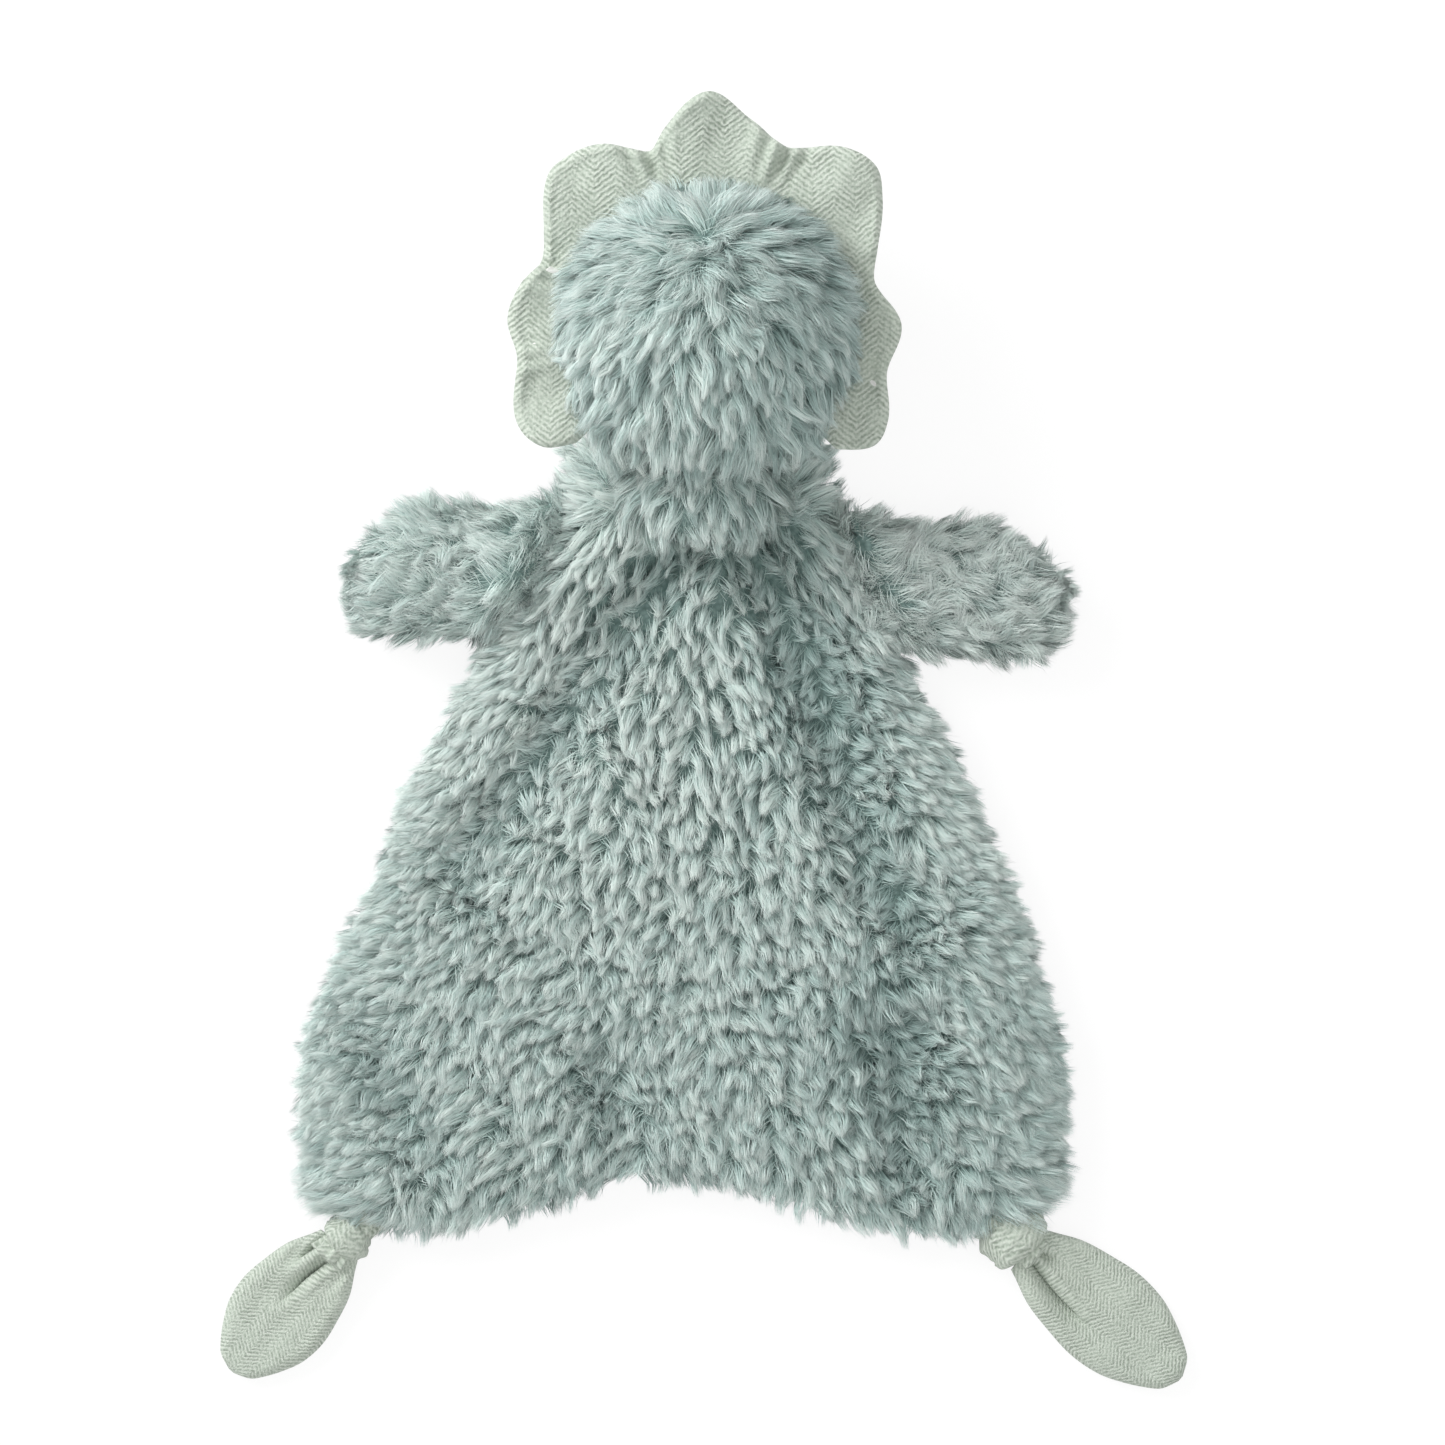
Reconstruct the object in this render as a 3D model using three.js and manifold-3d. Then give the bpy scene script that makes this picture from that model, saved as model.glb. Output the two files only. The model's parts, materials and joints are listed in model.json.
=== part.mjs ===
// A comfort blanket lovey: a furry animal head with a cloth frill, two stub arms and a flat blanket
// body whose two lower corners are knotted into cloth tails. It lies face down, as laid out flat.
// Lengths are millimetres. The model is built around the neck: +X is to the right of the toy seen
// from its back, +Y runs up to the crown, and +Z is up from the surface that the toy lies on.
import * as THREE from "three";
import { mergeVertices } from "three/addons/utils/BufferGeometryUtils.js";
import Module from "manifold-3d";

const wasm = await Module();
wasm.setup();

// Clearances
const seamGap = 0.3; // between pieces that are sewn or pressed together
const swingGap = 0.6; // between pieces that turn against each other
const overrun = 6; // how far a cutter runs past what it cuts
const weld = 1e-4; // vertices closer than this are one

// Neck
const neckRadius = 17;
const neckHeight = 30; // of its middle above the surface
const neckSleeveThickness = 2.2;
const neckMouthRadius = 8;
const neckThreadRadius = 0.7;

// Head
const headHalfWidth = 39.6;
const headHalfLength = 37;
const headHalfDepth = 37;
const headShift = 1; // sideways from the neck
const headDistance = 38; // from the neck to the middle of the head
const headRise = 14; // of the head's middle above the neck's
const headHeight = neckHeight + headRise;
const headPanelThickness = 4;

// Muzzle
const muzzleHalfWidth = 22;
const muzzleHalfLength = 17;
const muzzleHalfDepth = 16.5;
const muzzleDrop = 28; // below the head's middle
const muzzleShift = -6; // towards the neck from the head's middle
const muzzlePanelThickness = 2.4;
const restFlat = 0.5; // depth of the flat where the muzzle rests

// Eyes, nostrils and mouth, all embroidered
const eyeHalfLength = 4.6;
const eyeHalfWidth = 3.6;
const eyeThickness = 1;
const eyeSpacing = 17; // from the middle of the face to an eye
const nostrilHalfLength = 1.9;
const nostrilHalfWidth = 1.3;
const nostrilThickness = 0.8;
const mouthThreadRadius = 0.6;
const mouthHalfWidth = 9;

// Horns
const noseHornLength = 13;
const noseHornRadius = 6;
const browHornLength = 19;
const browHornRadius = 6.5;
const browHornSpacing = 17;
const browHornRise = 27;
const hornClothThickness = 1.2;

// Frill
const frillReach = 58.7; // from the head's middle to the tip over the crown
const frillLayerThickness = 1.2;
const frillWaddingThickness = 1;
const frillWaddingInset = 3;
const frillPucker = 1.5; // height of its waves
const frillFrom = 222; // degrees round the head's middle, anticlockwise from +X
const frillTo = -44;

// Blanket body
const blanketLength = 196; // neck to the lowest of the hem
const blanketHalfWidth = 96.5;
const blanketHeight = 18; // of the pile above the surface, twice the radius of its turn when folded
const blanketLean = -5.6; // sideways drift of the lower half
const hemRise = 14; // the middle of the hem above the corners
const frontPanelThickness = 6;
const liningThickness = 1.2;
const liningInset = 4;
const seamEdgeThickness = 2; // of the back panel along its outer seam
const valleyDepth = 7; // of the deepest fold in the laid cloth
const neckSwell = 8; // rise of the gathered cloth at the neck
const neckClear = 4; // from the neck's middle to the blanket's top edge
const foldShare = 0.5255; // of the length, neck to the line where the blanket folds in two
const foldDistance = foldShare * blanketLength;

// Arms
const armLength = 44;
const armHalfWidth = 19;
const armHalfThickness = 11;
const armRootRadius = 10.5; // of the rounded seam end that it swings on
const armHeight = 11.2;
const armPanelThickness = 2.6;
const armDroop = { left: 16, right: 19 };
// The ends of each arm's seam, as shares of blanketHalfWidth and blanketLength from the neck
const armSeamShares = {
  left: { shoulder: [-0.394, 0.0204], armpit: [-0.5596, 0.2092] },
  right: { shoulder: [0.373, 0.0306], armpit: [0.5492, 0.2347] },
};

// Knots and tails
const knotHalfLength = 5.2; // along the tail
const knotHalfWidth = 8;
const knotHalfHeight = 6.2;
const knotWrapThickness = 2;
const knotHeight = 7; // of its middle above the surface
const tailHalfWidth = 13;
const tailLayerThickness = 1.3;
const tailCrease = 2.6; // depth of the creases that run out of the knot
const tailRestHeight = 0.6; // of the tail's underside where it lies flat
const tailLength = { left: 45.5, right: 56 };
const tailAngle = { left: 229.4, right: -39.5 }; // degrees, anticlockwise from +X
const knotShares = { left: [-0.943, 0.9872], right: [0.8197, 0.9888] }; // as the arms' seams

// How finely each form is divided
const steps = {
  ballRound: 28,
  ballRise: 14,
  stuffingRound: 18,
  stuffingRise: 8,
  frillRound: 50,
  frillOut: 2,
  blanketAcross: 24,
  innerAcross: 14,
  upperRows: 8,
  lowerRows: 9,
  armRound: 12,
  tailAcross: 8,
  tailAlong: 7,
  knotProfile: 8,
  hornRound: 8,
  patchRound: 10,
  mouth: 6,
  thread: 18,
  threadSides: 6,
};

// Colours, roughness and metalness of the cloths
const furCloth = { color: 0x9fb2ad, roughness: 0.95, metalness: 0 };
const frillCloth = { color: 0xb9c6b8, roughness: 0.85, metalness: 0 };
const muzzleCloth = { color: 0xc9d2c9, roughness: 0.9, metalness: 0 };
const hornCloth = { color: 0xe4dfd2, roughness: 0.9, metalness: 0 };
const innerCloth = { color: 0xd9dad4, roughness: 0.95, metalness: 0 };
const fibreFill = { color: 0xf2f2ee, roughness: 1, metalness: 0 };
const darkThread = { color: 0x3a3f40, roughness: 0.6, metalness: 0 };
const paleThread = { color: 0x8da19b, roughness: 0.6, metalness: 0 };

// A smooth curve through a table of [at, value] rows
function curveThrough(rows) {
  const slope = (i) => {
    const a = rows[Math.max(i - 1, 0)];
    const b = rows[Math.min(i + 1, rows.length - 1)];
    return (b[1] - a[1]) / (b[0] - a[0]);
  };
  return (at) => {
    const last = rows.length - 1;
    if (at <= rows[0][0]) return rows[0][1];
    if (at >= rows[last][0]) return rows[last][1];
    const i = rows.findIndex((row) => row[0] > at) - 1;
    const run = rows[i + 1][0] - rows[i][0];
    const t = (at - rows[i][0]) / run;
    const bend = [slope(i) * run, slope(i + 1) * run];
    return (
      rows[i][1] * (1 + 2 * t) * (1 - t) ** 2 +
      rows[i + 1][1] * (3 - 2 * t) * t ** 2 +
      bend[0] * t * (1 - t) ** 2 -
      bend[1] * t ** 2 * (1 - t)
    );
  };
}

const clamp = THREE.MathUtils.clamp;
const lerp = THREE.MathUtils.lerp;
const radians = THREE.MathUtils.degToRad;

// A closed geometry from points and triangles, turned so that its faces point out
function bodyOf(points, faces) {
  let volume = 0;
  for (const [a, b, c] of faces) volume += points[a].dot(points[b].clone().cross(points[c]));
  const geometry = new THREE.BufferGeometry().setFromPoints(points);
  geometry.setIndex(faces.flatMap(([a, b, c]) => (volume < 0 ? [a, c, b] : [a, b, c])));
  return geometry;
}

// A slab between two grids of points, rows[row][column], with walls round its four sides
function slab(topRows, bottomRows) {
  const rowCount = topRows.length;
  const columnCount = topRows[0].length;
  const points = [...topRows.flat(), ...bottomRows.flat()];
  const top = (row, column) => row * columnCount + column;
  const bottom = (row, column) => rowCount * columnCount + top(row, column);
  const faces = [];
  const quad = (a, b, c, d) => faces.push([a, b, c], [a, c, d]);
  for (let row = 0; row < rowCount - 1; row++)
    for (let column = 0; column < columnCount - 1; column++) {
      const next = column + 1;
      quad(top(row, column), top(row, next), top(row + 1, next), top(row + 1, column));
      quad(bottom(row, column), bottom(row + 1, column), bottom(row + 1, next), bottom(row, next));
    }
  const end = columnCount - 1;
  for (let row = 0; row < rowCount - 1; row++) {
    quad(top(row + 1, 0), bottom(row + 1, 0), bottom(row, 0), top(row, 0));
    quad(top(row, end), bottom(row, end), bottom(row + 1, end), top(row + 1, end));
  }
  for (let column = 0; column < end; column++) {
    const last = rowCount - 1;
    quad(top(0, column), bottom(0, column), bottom(0, column + 1), top(0, column + 1));
    quad(top(last, column + 1), bottom(last, column + 1), bottom(last, column), top(last, column));
  }
  return bodyOf(points, faces);
}

// A skin over closed rings of points, one pole point before the first and one after the last
function skin(startPole, rings, endPole) {
  const points = [startPole, ...rings.flat(), endPole];
  const count = rings[0].length;
  const at = (ring, side) => 1 + ring * count + (side % count);
  const faces = [];
  for (let side = 0; side < count; side++) {
    faces.push([0, at(0, side), at(0, side + 1)]);
    faces.push([points.length - 1, at(rings.length - 1, side + 1), at(rings.length - 1, side)]);
    for (let ring = 0; ring < rings.length - 1; ring++) {
      faces.push([at(ring, side), at(ring + 1, side), at(ring + 1, side + 1)]);
      faces.push([at(ring, side), at(ring + 1, side + 1), at(ring, side + 1)]);
    }
  }
  return bodyOf(points, faces);
}

// Solids for joining and cutting, and back again
function solidOf(geometry) {
  const bare = geometry.clone();
  bare.deleteAttribute("normal");
  bare.deleteAttribute("uv");
  const merged = mergeVertices(bare, weld);
  return new wasm.Manifold(
    new wasm.Mesh({
      numProp: 3,
      vertProperties: new Float32Array(merged.attributes.position.array),
      triVerts: new Uint32Array(merged.index.array),
    }),
  );
}

function geometryOf(solid) {
  const mesh = solid.getMesh();
  const geometry = new THREE.BufferGeometry();
  geometry.setAttribute("position", new THREE.BufferAttribute(mesh.vertProperties, mesh.numProp));
  geometry.setIndex(new THREE.BufferAttribute(mesh.triVerts, 1));
  return geometry;
}

const toy = new THREE.Group();

// Adds one named piece of the toy to a group
function addPiece(group, name, geometry, finish) {
  geometry.computeVertexNormals();
  const mesh = new THREE.Mesh(geometry, new THREE.MeshStandardMaterial(finish));
  mesh.name = name;
  group.add(mesh);
  return mesh;
}

// An ellipsoid solid about a middle, from its three half sizes
function ballSolid(middle, halves, round, rise) {
  const ball = new THREE.SphereGeometry(1, round, rise);
  ball.rotateX(Math.PI / 2);
  ball.scale(...halves);
  ball.translate(...middle);
  return solidOf(ball);
}

function boxSolid(low, high) {
  const size = high.map((value, i) => value - low[i]);
  const box = new THREE.BoxGeometry(...size);
  box.translate(...low.map((value, i) => value + size[i] / 2));
  return solidOf(box);
}

const neck = [0, 0, neckHeight];
const neckSocket = ballSolid(
  neck,
  Array(3).fill(neckRadius + swingGap),
  steps.ballRound,
  steps.ballRise,
);

// The neck is a stuffed ball joint: fibre inside, a sleeve of fur cloth, and the thread that gathers it.
// Every joint of the neck turns about its middle, so each piece there is a shell round that point.
{
  const stuffingRadius = neckRadius - neckSleeveThickness - swingGap;
  const ball = (radius) =>
    ballSolid(neck, Array(3).fill(radius), steps.stuffingRound, steps.stuffingRise);
  const mouth = new THREE.CylinderGeometry(
    neckMouthRadius,
    neckMouthRadius,
    2 * (neckRadius + overrun),
    steps.stuffingRound,
  );
  mouth.translate(...neck);
  const threadGeometry = (thickness) => {
    const ring = new THREE.TorusGeometry(
      neckRadius - neckThreadRadius - seamGap,
      thickness,
      steps.threadSides,
      steps.thread,
    );
    ring.rotateX(Math.PI / 2);
    ring.translate(...neck);
    return ring;
  };
  const sleeve = ball(neckRadius)
    .subtract(ball(neckRadius - neckSleeveThickness))
    .subtract(solidOf(mouth))
    .subtract(solidOf(threadGeometry(neckThreadRadius + seamGap)));
  addPiece(toy, "neck_stuffing", geometryOf(ball(stuffingRadius)), fibreFill);
  addPiece(toy, "neck_sleeve", geometryOf(sleeve), furCloth);
  addPiece(toy, "neck_gather_thread", threadGeometry(neckThreadRadius), paleThread);
}

// The head is two fur panels sewn round their rims over a ball of fibre, with the frill in the seam.
const head = [headShift, headDistance, headHeight];
const headHalves = [headHalfWidth, headHalfLength, headHalfDepth];
const shrunk = (halves, by) => halves.map((half) => half - by);
const headForm = (inset) => ballSolid(head, shrunk(headHalves, inset), steps.ballRound, steps.ballRise);
const frillStack = 2 * frillLayerThickness + frillWaddingThickness + 2 * seamGap;
const frillLow = headHeight - frillStack / 2;
const far = headHalfWidth + headHalfLength + headHalfDepth;

function sectorSolid(radius, low, high) {
  const shape = new THREE.Shape();
  shape.moveTo(0, 0);
  shape.absarc(0, 0, radius, radians(frillTo), radians(frillFrom), false);
  shape.closePath();
  const sector = new THREE.ExtrudeGeometry(shape, {
    depth: high - low,
    bevelEnabled: false,
    curveSegments: steps.frillRound,
  });
  sector.translate(head[0], head[1], low);
  return solidOf(sector);
}

{
  const shell = headForm(0)
    .subtract(headForm(headPanelThickness))
    .subtract(neckSocket)
    .subtract(sectorSolid(far, frillLow - 2 * seamGap, frillLow + frillStack + 2 * seamGap));
  const corner = [head[0] - far, head[1] - far];
  const opposite = [head[0] + far, head[1] + far];
  const above = boxSolid([...corner, headHeight + seamGap / 2], [...opposite, headHeight + far]);
  const below = boxSolid([...corner, headHeight - far], [...opposite, headHeight - seamGap / 2]);
  const stuffing = ballSolid(
    head,
    shrunk(headHalves, headPanelThickness + 2 * seamGap),
    steps.stuffingRound,
    steps.stuffingRise,
  ).subtract(neckSocket);
  addPiece(toy, "head_back_panel", geometryOf(shell.intersect(above)), furCloth);
  addPiece(toy, "head_face_panel", geometryOf(shell.intersect(below)), furCloth);
  addPiece(toy, "head_stuffing", geometryOf(stuffing), fibreFill);
}

// The frill is a ring of woven cloth, two layers over a thin wadding, cut into seven soft lobes.
// Rows are the share of the way round from frillFrom to frillTo, and the share of frillReach.
const frillEdgeShares = [
  [0, 0.76],
  [0.02, 0.89],
  [0.057, 0.925],
  [0.12, 0.83],
  [0.165, 0.86],
  [0.205, 0.82],
  [0.237, 0.765],
  [0.27, 0.81],
  [0.32, 0.94],
  [0.345, 0.945],
  [0.38, 0.905],
  [0.427, 0.79],
  [0.45, 0.865],
  [0.497, 1],
  [0.54, 0.905],
  [0.588, 0.84],
  [0.638, 0.965],
  [0.673, 0.995],
  [0.7, 0.93],
  [0.745, 0.8],
  [0.782, 0.745],
  [0.835, 0.835],
  [0.89, 0.8],
  [0.94, 0.86],
  [0.97, 0.85],
  [1, 0.74],
];
const frillWaves = 11;
{
  const reachAt = curveThrough(frillEdgeShares);
  const innerHalves = shrunk(headHalves, headPanelThickness - seamGap);
  const layer = (low, thickness, inset) => {
    const edge = inset / frillReach; // in radians, at the two ends of the ring
    const rows = (height) =>
      Array.from({ length: steps.frillOut + 1 }, (_, row) =>
        Array.from({ length: steps.frillRound + 1 }, (_, column) => {
          const [from, to] = [radians(frillFrom) - edge, radians(frillTo) + edge];
          const angle = lerp(from, to, column / steps.frillRound);
          const turn = (radians(frillFrom) - angle) / radians(frillFrom - frillTo);
          const [cos, sin] = [Math.cos(angle), Math.sin(angle)];
          const inner = 1 / Math.hypot(cos / innerHalves[0], sin / innerHalves[1]);
          const reach = lerp(inner, frillReach * reachAt(turn) - inset, row / steps.frillOut);
          const swing = (reach - inner) / (frillReach - inner);
          const wave = frillPucker * swing * Math.sin(2 * Math.PI * frillWaves * turn);
          return new THREE.Vector3(head[0] + reach * cos, head[1] + reach * sin, height + wave);
        }),
      );
    return slab(rows(low + thickness), rows(low));
  };
  const waddingLow = frillLow + frillLayerThickness + seamGap;
  const backLow = waddingLow + frillWaddingThickness + seamGap;
  addPiece(toy, "frill_front_layer", layer(frillLow, frillLayerThickness, 0), frillCloth);
  addPiece(
    toy,
    "frill_wadding",
    layer(waddingLow, frillWaddingThickness, frillWaddingInset),
    fibreFill,
  );
  addPiece(toy, "frill_back_layer", layer(backLow, frillLayerThickness, 0), frillCloth);
}

// The muzzle is a padded cup of short cloth sewn to the face. The toy rests on it.
const muzzle = [headShift, headDistance + muzzleShift, headHeight - muzzleDrop];
const muzzleHalves = [muzzleHalfWidth, muzzleHalfLength, muzzleHalfDepth];
const muzzleForm = (inset) =>
  ballSolid(muzzle, shrunk(muzzleHalves, inset), steps.stuffingRound, steps.stuffingRise);
const headCarrier = headForm(-seamGap);
const muzzleCarrier = muzzleForm(-seamGap);
const restCutter = boxSolid(
  [-far, -far, muzzle[2] - muzzleHalfDepth - overrun],
  [far, far, muzzle[2] - muzzleHalfDepth + restFlat],
);
{
  const cover = muzzleForm(0)
    .subtract(muzzleForm(muzzlePanelThickness))
    .subtract(headCarrier)
    .subtract(restCutter);
  const stuffing = muzzleForm(muzzlePanelThickness + seamGap).subtract(headCarrier);
  addPiece(toy, "muzzle_cover", geometryOf(cover), muzzleCloth);
  addPiece(toy, "muzzle_stuffing", geometryOf(stuffing), fibreFill);
}

// The point of an ellipsoid's surface that lies in a direction from its middle
function surfacePoint(middle, halves, direction) {
  const toward = new THREE.Vector3(...direction).normalize();
  const stretch = new THREE.Vector3(...halves);
  return toward.multiply(stretch).add(new THREE.Vector3(...middle));
}

// Turns and moves a geometry whose own axis is +Z so that it stands at a point, facing a direction
function standAt(geometry, point, direction) {
  const facing = new THREE.Vector3(...direction).normalize();
  const turn = new THREE.Quaternion().setFromUnitVectors(new THREE.Vector3(0, 0, 1), facing);
  geometry.applyQuaternion(turn);
  geometry.translate(point.x, point.y, point.z);
  return geometry;
}

// Embroidered eyes and nostrils are raised ovals of dark thread stitched through the cloth.
const eyeDirectionRise = 0.36;
const eyeDirectionDepth = -0.84;
const nostrilDirection = [0.26, 0.6, -0.76];
for (const [side, sign] of Object.entries({ left: -1, right: 1 })) {
  const patch = (width, length, thickness) => {
    const oval = new THREE.SphereGeometry(1, steps.patchRound, steps.patchRound / 2);
    oval.scale(width, length, thickness);
    return oval;
  };
  const eyeDirection = [(sign * eyeSpacing) / headHalfWidth, eyeDirectionRise, eyeDirectionDepth];
  const eye = standAt(
    patch(eyeHalfWidth, eyeHalfLength, eyeThickness),
    surfacePoint(head, headHalves, eyeDirection),
    eyeDirection,
  );
  addPiece(toy, side + "_eye", geometryOf(solidOf(eye).subtract(headCarrier)), darkThread);
  const direction = [sign * nostrilDirection[0], nostrilDirection[1], nostrilDirection[2]];
  const nostril = standAt(
    patch(nostrilHalfWidth, nostrilHalfLength, nostrilThickness),
    surfacePoint(muzzle, muzzleHalves, direction),
    direction,
  );
  const stitched = solidOf(nostril).subtract(muzzleCarrier).subtract(headCarrier);
  addPiece(toy, side + "_nostril", geometryOf(stitched), darkThread);
}

// The mouth is one curved line of satin stitch on the neck side of the muzzle.
const mouthDirection = [0, -0.62, -0.72];
const mouthCurl = 0.2; // how far the corners turn up, as a share of the muzzle's half length
{
  const points = [];
  for (let i = 0; i <= steps.mouth; i++) {
    const across = (2 * i) / steps.mouth - 1;
    const x = (across * mouthHalfWidth) / muzzleHalfWidth;
    const rise = mouthDirection[1] + mouthCurl * across * across;
    points.push(surfacePoint(muzzle, muzzleHalves, [x, rise, mouthDirection[2]]));
  }
  const section = new THREE.Shape().absarc(0, 0, mouthThreadRadius + seamGap, 0, 2 * Math.PI);
  const line = new THREE.ExtrudeGeometry(section, {
    steps: 2 * steps.mouth,
    extrudePath: new THREE.CatmullRomCurve3(points),
    curveSegments: steps.threadSides / 2,
  });
  addPiece(toy, "mouth_stitch", geometryOf(solidOf(line).subtract(muzzleCarrier)), darkThread);
}

// Each horn is a cone of plain cloth, turned, stuffed and sewn to the face.
function addHorn(name, base, direction, radius, length) {
  const cone = (inset) => {
    const height = length * (1 - inset / radius);
    const rootRadius = (radius - inset) * (1 + overrun / height);
    const form = new THREE.ConeGeometry(rootRadius, height + overrun, steps.hornRound);
    form.rotateX(Math.PI / 2);
    form.translate(0, 0, (height - overrun) / 2);
    return solidOf(standAt(form, base, direction));
  };
  const seated = (solid) => geometryOf(solid.subtract(headCarrier).subtract(muzzleCarrier));
  addPiece(toy, name, seated(cone(0).subtract(cone(hornClothThickness))), hornCloth);
  addPiece(toy, name + "_stuffing", seated(cone(hornClothThickness + seamGap)), fibreFill);
}
const noseHornDirection = [0, 0.9, -0.36];
const noseHornSeat = [0, 0.85, -0.5];
const browHornDirection = [0.2, 0.9, -0.35];
addHorn(
  "nose_horn",
  surfacePoint(muzzle, shrunk(muzzleHalves, hornClothThickness), noseHornSeat),
  noseHornDirection,
  noseHornRadius,
  noseHornLength,
);
for (const [side, sign] of Object.entries({ left: -1, right: 1 }))
  addHorn(
    side + "_brow_horn",
    surfacePoint(head, shrunk(headHalves, hornClothThickness), [
      (sign * browHornSpacing) / headHalfWidth,
      browHornRise / headHalfLength,
      eyeDirectionDepth + browHornRise / headHalfLength / 2,
    ]),
    [sign * browHornDirection[0], browHornDirection[1], browHornDirection[2]],
    browHornRadius,
    browHornLength,
  );

// A place on the laid blanket from its shares of blanketHalfWidth and blanketLength
const blanketPlace = ([across, down]) =>
  new THREE.Vector2(across * blanketHalfWidth, -down * blanketLength);

// The blanket body is two fur panels over a lining. It is laid with soft folds that fan out from the
// neck. Rows are the share of blanketLength from the neck, and the share of blanketHalfWidth.
const widthShares = [
  [0.02, 0.27],
  [0.1, 0.38],
  [0.2, 0.5],
  [0.27, 0.57],
  [0.36, 0.68],
  [0.46, 0.77],
  [0.57, 0.87],
  [0.67, 0.94],
  [0.77, 1],
  [0.88, 0.985],
  [1, 0.93],
];
// Rows are the place across the blanket from -1 to 1, and the share of hemRise above its lowest.
const hemShares = [
  [-1, 1],
  [-0.97, 0.65],
  [-0.89, 0.2],
  [-0.78, 0.03],
  [-0.55, 0.25],
  [-0.36, 0.62],
  [-0.15, 0.96],
  [0.06, 1],
  [0.3, 0.62],
  [0.45, 0.27],
  [0.75, 0],
  [0.89, 0.15],
  [0.97, 0.6],
  [1, 1],
];
// Each valley runs through places given as shares of blanketHalfWidth and blanketLength.
const valleyShares = [
  { depth: 1, path: [[-0.04, 0.07], [-0.3, 0.27], [-0.63, 0.51]] },
  { depth: 1, path: [[0.07, 0.03], [0.34, 0.3], [0.45, 0.51], [0.55, 0.57]] },
  { depth: 0.6, path: [[-0.84, 0.72], [-0.72, 0.88]] },
  { depth: 0.6, path: [[-0.25, 0.76], [-0.17, 0.88]] },
  { depth: 0.85, path: [[0.51, 0.72], [0.55, 0.88]] },
];
const valleyHalfWidth = 8;
const swellShare = 0.2; // how far down the blanket the neck's gathers reach
const edgeRoundness = 6; // higher is flatter across the blanket
const noseShares = [0.95, 0.8, 0.5]; // rows on the rounded turn at the fold line
const liningLow = frontPanelThickness + seamGap;
const backLow = liningLow + liningThickness + seamGap;
const foldRadius = blanketHeight / 2;
const widthAt = curveThrough(widthShares);
const hemAt = curveThrough(hemShares);

function valleyAt(x, y) {
  const spot = new THREE.Vector2(x, y);
  let deepest = 0;
  for (const { depth, path } of valleyShares) {
    const places = path.map(blanketPlace);
    for (let i = 0; i < places.length - 1; i++) {
      const run = places[i + 1].clone().sub(places[i]);
      const from = spot.clone().sub(places[i]);
      const t = clamp(from.dot(run) / run.lengthSq(), 0, 1);
      const away = from.sub(run.multiplyScalar(t)).length() / valleyHalfWidth;
      deepest = Math.max(deepest, depth * Math.exp(-away * away));
    }
  }
  return valleyDepth * deepest;
}

// A place on the blanket: across from -1 to 1, down the straight length, and inset from its edges
function blanketSpot(across, down, hemPull, inset) {
  const share = down / blanketLength;
  const lean = blanketLean * share * (2 - share);
  const x = lean + across * (blanketHalfWidth * widthAt(share) - inset);
  const y = -down + hemPull * (hemRise * hemAt(across) + inset);
  return [x, y];
}

// One layer of the blanket between two heights given by functions of a spot on it
function blanketLayer(rowsDown, columnCount, inset, heightsAt) {
  const columns = Array.from({ length: columnCount + 1 }, (_, column) =>
    Math.sin((Math.PI / 2) * ((2 * column) / columnCount - 1)),
  );
  const rows = (pick) =>
    rowsDown.map((row) =>
      columns.map((across) => {
        const [x, y] = blanketSpot(across, row.down, row.hemPull, inset);
        return new THREE.Vector3(x, y, heightsAt(across, x, y, row)[pick]);
      }),
    );
  return slab(rows(1), rows(0));
}

function backTop(across, x, y, row) {
  const swell = neckSwell * (1 - THREE.MathUtils.smoothstep(row.down / blanketLength, 0, swellShare));
  const full = blanketHeight + swell - valleyAt(x, y) - backLow - seamEdgeThickness;
  const round = Math.sqrt(1 - Math.abs(across) ** edgeRoundness);
  return backLow + seamEdgeThickness + full * round * row.endRound;
}

const upperRows = Array.from({ length: steps.upperRows + 1 }, (_, i) => ({
  down: lerp(neckClear, foldDistance - foldRadius - seamGap, i / steps.upperRows),
  hemPull: 0,
  endRound: 1,
  turn: 0,
}));
const noseRows = noseShares.map((share) => ({
  down: foldDistance - foldRadius * share,
  hemPull: 0,
  endRound: 1,
  turn: 1 - Math.sqrt(1 - share * share),
}));
const hemRoundness = 9;
const rowCrowding = 1.3; // above 1 sets the rows closer together towards the hem
const lowerRows = [
  ...noseRows,
  ...Array.from({ length: steps.lowerRows + 1 }, (_, i) => {
    const share = 1 - (1 - i / steps.lowerRows) ** rowCrowding;
    return {
      down: lerp(foldDistance, blanketLength, share),
      hemPull: share,
      endRound: Math.sqrt(1 - share ** hemRoundness),
      turn: 0,
    };
  }),
];

// The cut line of each arm's seam, and how far the panels stay back from it
function armFrame(seam) {
  const shoulder = blanketPlace(seam.shoulder);
  const armpit = blanketPlace(seam.armpit);
  const along = shoulder.clone().sub(armpit);
  const side = Math.sign(shoulder.x);
  const outward = Math.atan2(-side * along.x, side * along.y);
  const middle = shoulder.clone().add(armpit).divideScalar(2);
  return { middle, half: along.length() / 2, side, outward };
}
const armpitClear = 6;
function armCutter(seam) {
  const { middle, half, side, outward } = armFrame(seam);
  const back = armRootRadius + swingGap;
  const past = armpitClear + armRootRadius;
  const box = new THREE.BoxGeometry(2 * armLength, 2 * half + armpitClear + past, 4 * blanketHeight);
  box.translate(armLength - back, (side * (past - armpitClear)) / 2, 0);
  box.rotateZ(outward);
  box.translate(middle.x, middle.y, 0);
  return solidOf(box);
}

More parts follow.
